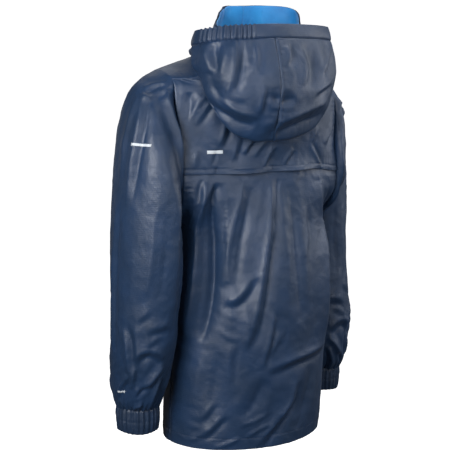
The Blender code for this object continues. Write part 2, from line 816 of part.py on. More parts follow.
# The lower back goes on up under the yoke, on the yoke's own points and normals.
lower = back[VENT_TUCK_ROW:].copy()
yoke_normals = normals["back_yoke"].reshape(back[:VENT_ROW + 1].shape)
lower_normals = normals["back_lower"].reshape(back[VENT_ROW:].shape)
tucked = VENT_ROW - VENT_TUCK_ROW
depth = np.zeros(lower.shape[:2])
depth[:tucked + 1] = -VENT_TUCK
depth[tucked + 1] = -VENT_TUCK / 3
for edge, beside in ((0, 1), (-1, -2)):
    inward = unit(lower[:tucked + 1, beside] - lower[:tucked + 1, edge])
    lower[:tucked + 1, edge] += VENT_TUCK_SHORT * inward
cloth_solid("back_lower", flat(lower), grid_faces(*lower.shape[:2]),
            flat(np.concatenate([yoke_normals[VENT_TUCK_ROW:-1], lower_normals])),
            navy, lift=depth.ravel())

# Collar lining: it goes on behind the zip as a guard, to end beside it on the right.
collar_normals = normals["collar"].reshape(collar.shape)
guard = collar.shape[1] - 3
order = list(range(guard, collar.shape[1])) + list(range(0, guard + 1))
lining = collar[:, order]
lining_normals = collar_normals[:, order]
frontal = np.abs(neck_angle(lining)) / 180
lining_depth = -(WALL + LINING_GAP) - ZIP_DEPTH * np.clip((frontal - 0.8) / 0.1, 0, 1)
cloth_solid("collar_lining", flat(lining), grid_faces(COLLAR_ROWS + 1, len(order)),
            flat(lining_normals), blue, wall=LINING_WALL, lift=lining_depth.ravel())

# Hood halves, with the casing round the opening
half = np.linspace(HOOD_END, 0, HOOD_COLUMNS + 1)
hood_faces = grid_faces(HOOD_ROWS + 1, HOOD_COLUMNS + 1)
hood = {
    "hood_left": (flat(hood_grid(half, HOOD_ROWS)), hood_faces),
    "hood_right": (flat(hood_grid(-half[::-1], HOOD_ROWS)), hood_faces),
}
hood_normals = dict(zip(hood, seam_normals(list(hood.values()))))
for name in hood:
    cloth_solid(name, *hood[name], hood_normals[name], navy_hood, gap=HOOD_SEAM_GAP)
angles, waves = casing_angles()
rim = (flat(hood_grid(angles, 2, casing=True)), grid_faces(3, len(angles)))
cloth_solid("hood_casing", *rim, seam_normals([rim])[0], navy_hood,
            wall=np.tile(waves, 3) + CASING_WALL, lift=np.tile(waves, 3) + CASING_LIFT)

# Cuffs
for side, right in (("left", False), ("right", True)):
    points, faces, wave = cuff_piece(sleeve_grid(right)[-1])
    if right:
        points, faces = right_side(points), turned(faces)
    around = seam_normals([(points, faces)])[0]
    cloth_solid("cuff_" + side, points, faces, around, navy_elastic,
                wall=wave + CUFF_WALL, lift=wave)

# Zip tapes under the front edges, on the edges' own points, from collar top to hem
front_normals = normals["front_left"].reshape(front.shape)
edge = np.concatenate([collar[:0:-1, :2], front[:, :2]])
edge_normals = np.concatenate([collar_normals[:0:-1, :2], front_normals[:, :2]])
reach = (TAPE_OUTER_X - ZIP_HALF_GAP) / (edge[:, 1, 0] - ZIP_HALF_GAP)
reach = reach[:, None]
outer = edge[:, 0] + reach * (edge[:, 1] - edge[:, 0])
outer_normals = edge_normals[:, 0] + reach * (edge_normals[:, 1] - edge_normals[:, 0])
inner = edge[:, 0] * (0, 1, 1) + (TAPE_INNER_X, 0, 0)
inner_normals = unit(edge_normals[:, 0] * (0, 1, 1))
tape = np.stack([inner, edge[:, 0], outer], axis=1)
tape_normals = np.stack([inner_normals, edge_normals[:, 0], outer_normals], axis=1)
tape_faces = turned(grid_faces(len(tape), 3))
other_side = np.array((-1.0, 1.0, 1.0))
cloth_solid("zip_tape_left", flat(tape), tape_faces, flat(tape_normals), zip_cloth,
            wall=TAPE_WALL, lift=-TAPE_DEPTH)
cloth_solid("zip_tape_right", flat(tape) * other_side, turned(tape_faces),
            flat(tape_normals) * other_side, zip_cloth, wall=TAPE_WALL, lift=-TAPE_DEPTH)

# Row of closed teeth between the tapes, ending above the box at the hem
middle_line = inner.copy()
middle_line[-1, 2] += ZIP_BOX_SIZE[2] + 2 * SEAM_GAP
chain = np.stack([middle_line - (TAPE_INNER_X + CHAIN_HALF_WIDTH, 0, 0),
                  middle_line - (TAPE_INNER_X - CHAIN_HALF_WIDTH, 0, 0)], axis=1)
cloth_solid("zip_chain", flat(chain), turned(grid_faces(len(chain), 2)),
            np.repeat(inner_normals, 2, axis=0), zip_plastic,
            wall=CHAIN_WALL, lift=-CHAIN_DEPTH)
box_middle = (0, inner[-1, 1] + CHAIN_DEPTH + CHAIN_WALL / 2,
              inner[-1, 2] + ZIP_BOX_SIZE[2] / 2 + SEAM_GAP)
box_piece("zip_box", ZIP_BOX_SIZE, box_middle, zip_plastic, 0.6)

# Slider on the closed chain at the collar, with the arch that carries the pull tab
down = np.argsort(inner[:, 2])
front_y = np.interp(SLIDER_Z, inner[down, 2], inner[down, 1])
slider_y = front_y + CHAIN_DEPTH - SLIDER_GAP - SLIDER_SIZE[1] / 2
slider = box_piece("zip_slider", SLIDER_SIZE, (0, slider_y, SLIDER_Z), zip_metal, 0.7)
face_y = slider_y - SLIDER_SIZE[1] / 2
bpy.ops.mesh.primitive_torus_add(
    major_radius=ARCH_RADIUS * MM, minor_radius=ARCH_WIRE * MM,
    major_segments=24, minor_segments=8, rotation=(0, math.radians(90), 0))
arch = bpy.context.object
arch.name = "slider_arch"
bpy.ops.object.transform_apply(location=False, rotation=True, scale=False)
shape = bmesh.new()
shape.from_mesh(arch.data)
cut = bmesh.ops.bisect_plane(
    shape, geom=shape.verts[:] + shape.edges[:] + shape.faces[:],
    plane_co=(0, ARCH_SUNK * MM, 0), plane_no=(0, 1, 0), clear_outer=True)
bmesh.ops.holes_fill(shape, edges=[part for part in cut["geom_cut"]
                                   if isinstance(part, bmesh.types.BMEdge)])
shape.to_mesh(arch.data)
shape.free()
arch.location = (0, face_y * MM, SLIDER_Z * MM)
arch.hide_render = True
arch.display_type = "WIRE"
move_to(arch, COLLECTION + "_cutters")
joined = slider.modifiers.new("Arch", "BOOLEAN")
joined.operation = "UNION"
joined.solver = "EXACT"
joined.object = arch

# Pull tab, with its origin on the hinge axis in its top bar
hinge = bpy.data.objects.new("zip_pull_hinge", None)
hinge.location = (0, (face_y - PIN_OUT) * MM, SLIDER_Z * MM)
bpy.data.collections[COLLECTION].objects.link(hinge)
tab_middle = (0, 0, TAB_BAR - TAB_SIZE[2] / 2)
tab = box_piece("zip_pull", TAB_SIZE, tab_middle, zip_metal, TAB_BEVEL, at_origin=True)
window_size = (TAB_WINDOW[0], 4 * TAB_SIZE[1], TAB_WINDOW[1])
window_middle = (0, 0, -TAB_BAR - TAB_WINDOW[1] / 2)
window = box_piece("zip_pull_window", window_size, window_middle, zip_metal, 0,
                   at_origin=True)
move_to(window, COLLECTION + "_cutters")
window.hide_render = True
window.display_type = "WIRE"
opened = tab.modifiers.new("Window", "BOOLEAN")
opened.operation = "DIFFERENCE"
opened.solver = "EXACT"
opened.object = window
for piece in (tab, window):
    piece.parent = hinge
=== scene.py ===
"""A child's hooded rain jacket in coated nylon, hanging filled out as it is worn.

X runs to the wearer's left, Y to the wearer's back and Z up, from the middle of the
neck opening.  Sizes are in millimetres until a mesh is made.
"""
import math

import bpy
import numpy as np
from mathutils import Matrix, Vector


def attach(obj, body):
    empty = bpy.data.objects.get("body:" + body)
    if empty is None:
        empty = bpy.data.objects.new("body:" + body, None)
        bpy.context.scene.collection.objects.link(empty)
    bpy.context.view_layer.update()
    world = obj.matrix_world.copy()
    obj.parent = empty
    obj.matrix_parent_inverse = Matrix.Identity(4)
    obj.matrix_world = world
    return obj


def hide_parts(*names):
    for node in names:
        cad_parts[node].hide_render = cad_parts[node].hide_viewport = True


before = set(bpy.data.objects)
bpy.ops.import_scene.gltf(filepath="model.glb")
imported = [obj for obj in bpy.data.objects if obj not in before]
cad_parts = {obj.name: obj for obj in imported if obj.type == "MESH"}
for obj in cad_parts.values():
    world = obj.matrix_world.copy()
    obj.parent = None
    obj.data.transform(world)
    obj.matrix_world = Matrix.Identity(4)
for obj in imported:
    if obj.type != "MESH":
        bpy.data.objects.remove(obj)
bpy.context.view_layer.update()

scene = bpy.context.scene
MM = 0.001

# ---------------------------------------------------------------- studio
# The jacket hangs at a child's shoulder height over a plain pale floor. It is seen from
# behind and a little from the wearer's left, in broad soft light from high on the left.


def linear(hex_colour):
    """A linear colour from an sRGB hex value."""
    parts = [int(hex_colour[place:place + 2], 16) / 255 for place in (0, 2, 4)]
    return [part / 12.92 if part <= 0.04045 else ((part + 0.055) / 1.055) ** 2.4
            for part in parts] + [1.0]


def add_node(material, kind, links=(), **settings):
    """Add a node; links are (socket of this node, source node, its output)."""
    node = material.node_tree.nodes.new(kind)
    for name, value in settings.items():
        if name.startswith("in_"):
            key = name[3:]
            node.inputs[int(key) if key.isdigit() else key.replace("_", " ")].default_value = value
        else:
            setattr(node, name, value)
    for socket, source, output in links:
        material.node_tree.links.new(node.inputs[socket], source.outputs[output])
    return node


def new_material(name):
    """An empty material and its Principled shader."""
    material = bpy.data.materials.new(name)
    material.use_nodes = True
    return material, material.node_tree.nodes["Principled BSDF"]


VIEW_ROUND = math.radians(32)      # from straight behind towards the wearer's left
VIEW_UP = math.radians(10.6)
VIEW_ROLL = math.radians(0.8)
VIEW_DISTANCE = 1.8403
PICTURE_WIDE = 457                 # pixels, the unit of the three values below
FOCAL_LENGTH = 1312.7
SHIFT_RIGHT, SHIFT_UP = -23.5, 8.7
SENSOR_WIDE = 36                   # mm
aim = Vector((0, 0, -0.27))
back = Vector((math.sin(VIEW_ROUND) * math.cos(VIEW_UP),
               math.cos(VIEW_ROUND) * math.cos(VIEW_UP), math.sin(VIEW_UP)))
right = (-back).cross(Vector((0, 0, 1))).normalized()
up = right.cross(-back)
level_right = right
right = level_right * math.cos(VIEW_ROLL) + up * math.sin(VIEW_ROLL)
up = up * math.cos(VIEW_ROLL) - level_right * math.sin(VIEW_ROLL)
camera_data = bpy.data.cameras.new("camera")
camera_data.lens = FOCAL_LENGTH / PICTURE_WIDE * SENSOR_WIDE
camera_data.shift_x = SHIFT_RIGHT / PICTURE_WIDE
camera_data.shift_y = SHIFT_UP / PICTURE_WIDE
camera_data.clip_end = 1000
camera = bpy.data.objects.new("camera", camera_data)
turn = Matrix((right, up, back)).transposed().to_4x4()
camera.matrix_world = Matrix.Translation(aim + back * VIEW_DISTANCE) @ turn
scene.collection.objects.link(camera)
scene.camera = camera

bpy.ops.object.select_all(action="DESELECT")
bpy.ops.mesh.primitive_plane_add(size=1000, location=(0, 0, -1.05))
floor = bpy.context.object
floor.name = "floor"
paint, shader = new_material("matt white studio floor")
shader.inputs["Base Color"].default_value = linear("fefefe")
shader.inputs["Roughness"].default_value = 0.95
shader.inputs["Specular IOR Level"].default_value = 0.0
shader.inputs["Emission Color"].default_value = linear("ffffff")
shader.inputs["Emission Strength"].default_value = 1.0
floor.data.materials.append(paint)
floor.visible_diffuse = False       # the jacket hangs clear of the floor's own glow
floor.visible_glossy = False

LIGHTS = (
    ("name", "round_deg", "up_deg", "distance", "size", "power"),
    ("left softbox", 60, 12, 1.3, 0.7, 20),
    ("high right softbox", -68, 58, 1.3, 0.7, 12),
    ("back softbox", 2, 14, 1.3, 0.7, 7),
    ("right softbox", -70, 12, 1.3, 0.7, 6),
    ("front softbox", 205, 46, 1.3, 0.9, 4),
)
for name, round_deg, up_deg, distance, size, power in LIGHTS[1:]:
    lamp = bpy.data.lights.new(name, "AREA")
    lamp.size = size
    lamp.energy = power
    holder = bpy.data.objects.new(name, lamp)
    around, rise = math.radians(round_deg), math.radians(up_deg)
    way = Vector((math.sin(around) * math.cos(rise),
                  math.cos(around) * math.cos(rise), math.sin(rise)))
    holder.location = Vector((0, 0, -0.15)) + way * distance
    holder.rotation_euler = way.to_track_quat("Z", "Y").to_euler()
    scene.collection.objects.link(holder)
scene.view_settings.view_transform = "Standard"
world = bpy.data.worlds.new("white room")
world.use_nodes = True
around = world.node_tree.nodes.new("ShaderNodeTexCoord")
parts = world.node_tree.nodes.new("ShaderNodeSeparateXYZ")
height = world.node_tree.nodes.new("ShaderNodeMapRange")
height.inputs["From Min"].default_value = -1.0
walls = world.node_tree.nodes.new("ShaderNodeValToRGB")
for position, shade in ((0.47, 0.03), (0.49, 1.0), (0.503, 1.0), (0.53, 0.08)):
    stop = walls.color_ramp.elements.new(position)          # white walls, a dimmer ceiling
    stop.color = (shade, shade, shade, 1)
walls.color_ramp.elements[0].color = (0.03, 0.03, 0.03, 1)
walls.color_ramp.elements[-1].color = (0.08, 0.08, 0.08, 1)
world.node_tree.links.new(parts.inputs[0], around.outputs["Generated"])
world.node_tree.links.new(height.inputs["Value"], parts.outputs["Z"])
world.node_tree.links.new(walls.inputs["Fac"], height.outputs["Result"])
world.node_tree.links.new(world.node_tree.nodes["Background"].inputs["Color"], walls.outputs["Color"])
scene.world = world

# ---------------------------------------------------------------- back
# Yoke and lower back in coated nylon taffeta, each cut in one piece from side to side. The
# yoke ends in a loose flap over an air vent, tacked down in three places; the lower back
# goes on up under it and hangs free to a turned and stitched hem.
ARMHOLE = (      # left armhole seam in 24 steps: over the shoulder, down the back, up the front
    (0, 138, -24, -35), (2, 135, 13, -46), (4, 134, 21, -78), (6, 129.5, 26, -120),
    (8, 127, 29, -171), (10, 123, 17, -216), (12, 117, -24, -241), (14, 119, -62, -216),
    (16, 123, -76, -171), (18, 128, -76, -120), (20, 133, -70, -80), (22, 135, -61, -50),
)
SADDLE = {       # shoulder strip from the neck to the armhole: its two seams and its ridge
    "back": ((45.5, 38.1, -12), (98, 29, -41), (135, 13, -46)),
    "ridge": ((68, -5, -9), (104, -20, -23.5), (138, -24, -35)),
    "front": ((45.5, -48.1, -22), (94, -60, -38), (135, -61, -50)),
}
SIDE = (         # row, left x, right x, y and z of the side seams under the arms
    (14, 117, 117, -24, -241), (15, 113, 123, -24, -266), (16, 112, 133, -24, -298),
    (18, 113, 131, -23, -370), (20, 116, 124, -21, -450), (22, 119, 120, -20, -525),
    (23, 119, 117, -20, -554),
)
BACK_MIDDLE = (  # row, y, z and turn of the middle of the back
    (0, 53, -14, 42), (2, 57, -38, 38), (4, 58.5, -62, 34), (6, 58, -94, 34),
    (8, 55, -132, 34), (10, 51, -171, 38), (12, 58, -216, 56), (14, 66, -250, 80),
    (16, 73, -299, 89), (18, 78, -370, 90), (20, 77, -450, 90), (22, 74, -525, 90),
    (23, 72, -554, 90),
)
FRONT_MIDDLE = (
    (0, -62.5, -34, 42), (2, -70, -52, 38), (4, -81, -76, 36), (6, -91, -102, 36),
    (8, -100, -134, 38), (10, -107, -172, 44), (12, -112, -216, 60), (14, -116, -250, 80),
    (16, -119, -299, 89), (18, -120, -370, 90), (20, -117, -450, 90), (22, -114, -525, 90),
    (23, -113, -554, 90),
)
BACK_FOLDS = (   # path of (x, z), width of its sides, depth, in if positive, and any step
    (((-3, -180), (2, -215), (9, -252), (18, -294), (27, -343), (35, -381), (42, -405)), 5.5, 6.5, 1),
    (((18, -190), (33, -236), (47, -278), (57, -319)), (6, 9), -1.5),
    (((37, -310), (49, -333), (62, -346), (76, -344)), 5, 3.5, 1),
    (((40, -188), (53, -236), (62, -276), (69, -324)), 7, 4.5, 1),
    (((92, -182), (93, -222), (91, -262), (93, -311), (97, -356), (104, -402)), 6.5, 13, 1),
    (((102, -177), (105, -191), (105, -208)), 3, 3),
    (((83, -184), (90, -196), (94, -213)), 3.5, 3.5, 1),
    (((114, -180), (107, -227), (104, -294), (109, -389)), (4, 5), -2),
    (((-26, -190), (-30, -228), (-31, -280), (-34, -338), (-39, -381)), (8, 9), 5),
    (((-84, -190), (-94, -262), (-96, -340), (-96, -424)), (5, 18), -8),
    (((-109, -201), (-104, -290), (-99, -350)), (3, 4), 3.5),
    (((7, -361), (15, -402), (24, -438)), 3.2, 3.2, 1),
    (((50, -349), (45, -380), (50, -413)), (4, 8), -3),
    (((-109, -430), (-53, -434), (-19, -438), (15, -446)), 6, 4.5, 1),
    (((-34, -464), (-26, -494), (-6, -517), (13, -536), (26, -554)), 5.5, 4.5, 1),
    (((24, -455), (36, -485), (51, -510)), (10, 9), 3.5),
    (((16, -503), (36, -513), (55, -519)), 2.5, -1.8),
    (((12, -519), (33, -528), (46, -537)), 2.5, -1.8),
    (((84, -487), (91, -501), (98, -516)), 3, 2.4, 1),
    (((72, -504), (83, -520), (96, -540)), 3.2, 2.6, 1),
    (((92, -521), (100, -534), (108, -545)), 3, -2),
    (((54, -536), (70, -545), (85, -551)), 3, -2),
    (((88, -414), (94, -460), (97, -497)), 9, 3, 1),
    (((-64, -450), (-52, -495), (-36, -538)), (9, 12), 3.5),
    (((-55, -222), (-59, -259), (-51, -293)), 4, 1.8, 1),
    (((62, -402), (66, -427), (65, -458)), 4, 2, 1),
    (((-9, -388), (4, -406), (13, -422)), 3.5, 2, 1),
    (((78, -383), (69, -393), (57, -396)), 3.5, -1.8),
    (((94, -62), (108, -77), (119, -100)), (5, 6), -3.5),
    (((119, -62), (117, -80), (120, -101)), 5, 3.5),
    (((85, -72), (97, -86), (108, -107)), 3.5, 2.6, 1),
    (((69, -99), (71, -116), (77, -134)), 4.5, 3.6, 1),
    (((30, -125), (38, -135), (44, -146)), 3, 3, 1),
    (((14, -128), (25, -139), (30, -149)), 3, -2),
    (((-1, -136), (6, -149), (12, -163)), 3, 3, 1),
    (((-33, -143), (-25, -154), (-19, -164)), 3, 2.2, 1),
    (((-63, -134), (-77, -153), (-88, -171)), 3, 2.8, 1),
    (((-116, -102), (-110, -121), (-94, -142)), 4, 3, 1),
    (((108, -135), (111, -148), (112, -162)), 4, -2),
    (((52, -120), (54, -136), (59, -155)), 4, 2.2, 1),
    (((-76, -113), (-69, -126), (-66, -140)), 4, -2.2),
    (((84, -138), (85, -147), (87, -157)), 2.5, 1.8),
)
RIGHT_DROP = 22.0            # the right shoulder hangs lower
RIGHT_DRAW_IN = 12.0         # and closer in than the left one
CLOTH = 0.8                  # thickness of a sewn panel with its coating
SEAM_DIP = 0.8               # how far a seam lies below the cloth beside it
YOKE_ROW, TUCK_ROW, HEM_ROW = 10, 9, 23
VENT_TACKS = (-84.0, 0.0, 84.0)
VENT_GAPE = 7.5
FLAP_STITCH, FLAP_STITCH_2 = 7.0, 10.0       # rows of topstitching up from the flap's edge
HEM_TURN = 16.0                              # height of the turned hem and its stitching


def smooth(knots, values, at):
    """A cubic curve through the values at the knots, read at the given places."""
    knots = np.asarray(knots, float)
    values = np.asarray(values, float)
    at = np.atleast_1d(np.asarray(at, float))
    slopes = np.gradient(values, knots, axis=0)
    low = np.clip(np.searchsorted(knots, at, side="right") - 1, 0, len(knots) - 2)
    shape = (-1,) + (1,) * (values.ndim - 1)
    span = (knots[low + 1] - knots[low]).reshape(shape)
    part = ((at - knots[low]) / (knots[low + 1] - knots[low])).reshape(shape)
    return ((1 + 2 * part) * (1 - part) ** 2 * values[low]
            + part * (1 - part) ** 2 * span * slopes[low]
            + part ** 2 * (3 - 2 * part) * values[low + 1]
            + part ** 2 * (part - 1) * span * slopes[low + 1])


def lengths_along(points):
    """Distance of each point of a line from its first one, measured along the line."""
    return np.concatenate([(0,), np.cumsum(np.linalg.norm(np.diff(points, axis=0), axis=1))])


def read_line(at, reach, values):
    """Points or normals of a line at the given distances along it."""
    return np.stack([np.interp(at, reach, values[:, axis]) for axis in range(3)], axis=-1)


def read_table(table, at):
    """All columns of a table at the given places of its first column."""
    table = np.array(table, float)
    return smooth(table[:, 0], table[:, 1:], at)


def unit(vectors):
    """The vectors at length one."""
    return vectors / np.maximum(np.linalg.norm(vectors, axis=-1, keepdims=True), 1e-9)


def ease(values, low, high):
    """0 below low, 1 above high and a soft change between."""
    part = np.clip((values - low) / (high - low), 0, 1)
    return part * part * (3 - 2 * part)


def armhole_points(steps):
    """Points of the left armhole seam."""
    table = np.array(ARMHOLE, float)
    knots = np.concatenate([table[:, 0] - 24, table[:, 0], table[:, 0] + 24])
    return smooth(knots, np.concatenate([table[:, 1:]] * 3), steps)


def right_side(points):
    """Points worked out on the left, moved to the right and settled on that shoulder."""
    settle = ease(points[..., 0], 60, 140) * ease(points[..., 2], -225, -100)
    moved = points * np.array((-1.0, 1.0, 1.0))
    moved[..., 0] += RIGHT_DRAW_IN * settle
    moved[..., 2] -= RIGHT_DROP * settle
    return moved


def half_body(rows, places, front, right):
    """Half the back or one front, from its middle out to saddle, armhole and side seams."""
    edges = np.empty((len(rows), 3))
    side = read_table(SIDE, rows)
    edges[:] = side[:, (1 if right else 0, 2, 3)]
    above = rows <= 14
    steps = rows[above] - 2
    edges[above] = armhole_points(24 - steps if front else steps)
    above = rows <= 4
    edges[above] = smooth((0, 0.5, 1), SADDLE["front" if front else "back"], rows[above] / 4)
    middle = read_table(FRONT_MIDDLE if front else BACK_MIDDLE, rows)
    start = 7.0 if front else 0.0
    turn = np.radians(middle[:, 2:3])
    lean = np.sin(turn * places) / np.sin(turn)
    rise = (np.cos(turn * places) - np.cos(turn)) / (1 - np.cos(turn))
    grid = np.empty((len(rows), len(places), 3))
    grid[..., 0] = start + lean * (edges[:, 0:1] - start)
    grid[..., 1] = edges[:, 1:2] + rise * (middle[:, 0:1] - edges[:, 1:2])
    grid[..., 2] = edges[:, 2:3] + rise * (middle[:, 1:2] - edges[:, 2:3])
    return right_side(grid) if right else grid


def spaced(first, last, count, near=(), also=()):
    """Places from first to last, with more of them near both ends and about others."""
    places = [np.linspace(first, last, count + 1)]
    for away in near:
        places += [(first + away,), (last - away,)]
    return np.unique(np.round(np.concatenate(places + [tuple(also)]), 5))


def fold_height(across, down, folds):
    """Height of the listed troughs and ridges, creased along their paths and soft at their
    ends. Two widths make one side of a fold steeper, and a step is high at one side of its
    path and low at the other."""
    total = np.zeros(across.shape)
    for path, widths, depth, *step in folds:
        widths = np.broadcast_to(np.asarray(widths, float), 2)
        knots = np.arange(len(path))
        line = smooth(knots, path, np.linspace(0, len(path) - 1, 6 * (len(path) - 1) + 1))
        runs = np.diff(line, axis=0)
        lengths = np.linalg.norm(runs, axis=1)
        whole = lengths.sum()
        reach = 3.2 * widths.max()
        close = ((across > line[:, 0].min() - reach) & (across < line[:, 0].max() + reach)
                 & (down > line[:, 1].min() - reach) & (down < line[:, 1].max() + reach))
        x, z = across[close], down[close]
        best = np.full(x.shape, 1e9)
        at = np.zeros(x.shape)
        side = np.zeros(x.shape)
        passed = 0.0
        for start, run, length in zip(line, runs, lengths):
            from_x, from_z = x - start[0], z - start[1]
            part = np.clip((from_x * run[0] + from_z * run[1]) / length ** 2, 0, 1)
            away = np.hypot(from_x - part * run[0], from_z - part * run[1])
            nearer = away < best
            best = np.where(nearer, away, best)
            side = np.where(nearer, (run[0] * from_z - run[1] * from_x) / length, side)
            at = np.where(nearer, passed + part * length, at)
            passed += length
        taper = np.sin(math.pi * np.clip(at / whole, 0, 1)) ** 0.6
        width = widths[0] + (widths[1] - widths[0]) * ease(side, -3, 3)
        t = best / width
        shape = np.exp(-1.5 * (np.sqrt(t * t + 0.08) - 0.283)) - 0.2 * np.exp(-((t - 2.0) / 0.7) ** 2)
        if step:
            slope = np.where(t < 1, 0.35 * t + 0.65 * t * t * (3 - 2 * t), np.exp(-0.9 * (t - 1)))
            shape = -slope * np.sign(side) * step[0]
        total[close] -= depth * taper * shape
    return total


def crumple(across, down, size, seed, stretch=1.0, slant=0.0):
    """Soft irregular heights between about -1 and 1, on a net of the given size."""
    net = np.random.default_rng(seed).uniform(-1, 1, (97, 97))
    cos, sin = math.cos(math.radians(slant)), math.sin(math.radians(slant))
    x = (across * cos + down * sin) / size + 500
    y = (down * cos - across * sin) / (size * stretch) + 500
    i, j = np.floor(x).astype(int), np.floor(y).astype(int)
    u, v = x - i, y - j
    u = u * u * u * (u * (u * 6 - 15) + 10)
    v = v * v * v * (v * (v * 6 - 15) + 10)
    low = net[i % 97, j % 97] * (1 - u) + net[(i + 1) % 97, j % 97] * u
    high = net[i % 97, (j + 1) % 97] * (1 - u) + net[(i + 1) % 97, (j + 1) % 97] * u
    return low * (1 - v) + high * v


def slack(across, down, seed, amount=1.0):
    """The small unevenness of a hanging panel: broad waves, long creases and dimples."""
    wander = 9 * crumple(across, down, 40, seed + 5)
    crease = crumple(across + wander, down, 15, seed, 3.2, 12)
    cross = crumple(across, down + wander, 13, seed + 1, 2.4, -55)
    broad = crumple(across, down, 34, seed + 2, 1.8, 8)
    fine = crumple(across, down, 8.5, seed + 3, 1.6, -30)
    return amount * (0.7 * broad + 0.6 * (0.35 - np.abs(crease)) * (1 + 0.5 * broad)
                     + 0.5 * (0.35 - np.abs(cross)) + 0.45 * (0.35 - np.abs(fine)))


def edge_distances(grid):
    """Distance in mm of each grid point from the first and last column and row."""
    along = np.linalg.norm(np.diff(grid, axis=1), axis=2)
    down = np.linalg.norm(np.diff(grid, axis=0), axis=2)
    left = np.concatenate([np.zeros((len(grid), 1)), np.cumsum(along, axis=1)], axis=1)
    top = np.concatenate([np.zeros((1, grid.shape[1])), np.cumsum(down, axis=0)])
    return left, left[:, -1:] - left, top, top[-1:] - top


def soften(grid, amount, rounds=160):
    """The grid with its rows eased into each other where the amount is more than 0."""
    grid = grid.copy()
    for _ in range(rounds):
        grid[1:-1] += 0.5 * amount[1:-1, :, None] * ((grid[:-2] + grid[2:]) / 2 - grid[1:-1])
    return grid


def grid_normals(grid, ring=False):
    """Normals of a grid from its neighbouring points."""
    if ring:
        wide = np.concatenate([grid[:, -1:], grid, grid[:, :1]], axis=1)
        along = (wide[:, 2:] - wide[:, :-2])
    else:
        along = np.gradient(grid, axis=1)
    return unit(np.cross(along, np.gradient(grid, axis=0)))


def grid_faces(rows, columns, ring=False, first=0):
    """Quads of a grid of points, counted along its rows."""
    faces = []
    for row in range(rows - 1):
        for place in range(columns if ring else columns - 1):
            beside = (place + 1) % columns
            here = first + row * columns
            faces.append((here + place, here + beside,
                          here + columns + beside, here + columns + place))
    return faces


def new_piece(name, points, faces, material):
    """A smooth mesh piece from points in mm."""
    mesh = bpy.data.meshes.new(name)
    mesh.from_pydata((np.asarray(points) * MM).tolist(), [], faces)
    mesh.validate()
    mesh.materials.append(material)
    mesh.polygons.foreach_set("use_smooth", [True] * len(mesh.polygons))
    piece = bpy.data.objects.new(name, mesh)
    scene.collection.objects.link(piece)
    return piece


def cloth(name, points, faces, material, wall=CLOTH, inside_out=False):
    """A thin closed wall: the face that shows, its copy a wall further in and the rims."""
    points = np.asarray(points, float)
    if inside_out:
        faces = [tuple(reversed(face)) for face in faces]
    quads = np.array(faces)
    corners = points[quads]
    facing = np.cross(corners[:, 2] - corners[:, 0], corners[:, 3] - corners[:, 1])
    total = np.zeros_like(points)
    for corner in range(4):
        np.add.at(total, quads[:, corner], facing)
    inner = points - unit(total) * np.reshape(wall, (-1, 1))
    count = len(points)
    used = {(face[place], face[(place + 1) % 4]) for face in faces for place in range(4)}
    rims = [(end, start, count + start, count + end)
            for start, end in sorted(used) if (end, start) not in used]
    inside = [tuple(count + corner for corner in reversed(face)) for face in faces]
    return new_piece(name, np.concatenate([points, inner]), faces + inside + rims, material)


def stitch_row(points, normals, length=2.6, gap=0.9, thick=0.55):
    """Points and faces of a row of thread stitches along a line on the cloth."""
    points, normals = np.asarray(points), np.asarray(normals)
    reach = lengths_along(points)
    count = max(1, int(reach[-1] / (length + gap)))
    profile = ((0, 0.25, 0.15), (0.18, 0.9, 0.85), (0.5, 1.0, 1.0), (0.82, 0.9, 0.85), (1, 0.25, 0.15))
    bodies, faces = [], []
    for start in np.arange(count) * (length + gap) + gap / 2:
        first = len(bodies)
        for part, wide, high in profile:
            at = start + part * length
            middle = read_line(at, reach, points)
            ahead = unit(read_line(at + 0.3, reach, points) - read_line(at - 0.3, reach, points))
            normal = unit(read_line(at, reach, normals))
            half = np.cross(ahead, normal)
            half = unit(half) * thick * 0.5 * wide
            low, top = -normal * 0.15, normal * thick * 0.45 * high
            bodies += [middle + half + low, middle + half * 0.7 + top,
                       middle - half * 0.7 + top, middle - half + low]
        faces += grid_faces(len(profile), 4, ring=True, first=first)
        faces.append((first + 3, first + 2, first + 1, first))
        faces.append((first + 16, first + 17, first + 18, first + 19))
    return np.array(bodies), faces


def stitching(name, lines, material):
    """One piece holding several stitched lines, given as (points, normals) pairs."""
    bodies, faces, count = [], [], 0
    for points, normals in lines:
        body, quads = stitch_row(points, normals)
        bodies.append(body)
        faces += [tuple(count + corner for corner in quad) for quad in quads]
        count += len(body)
    return new_piece(name, np.concatenate(bodies), faces, material)


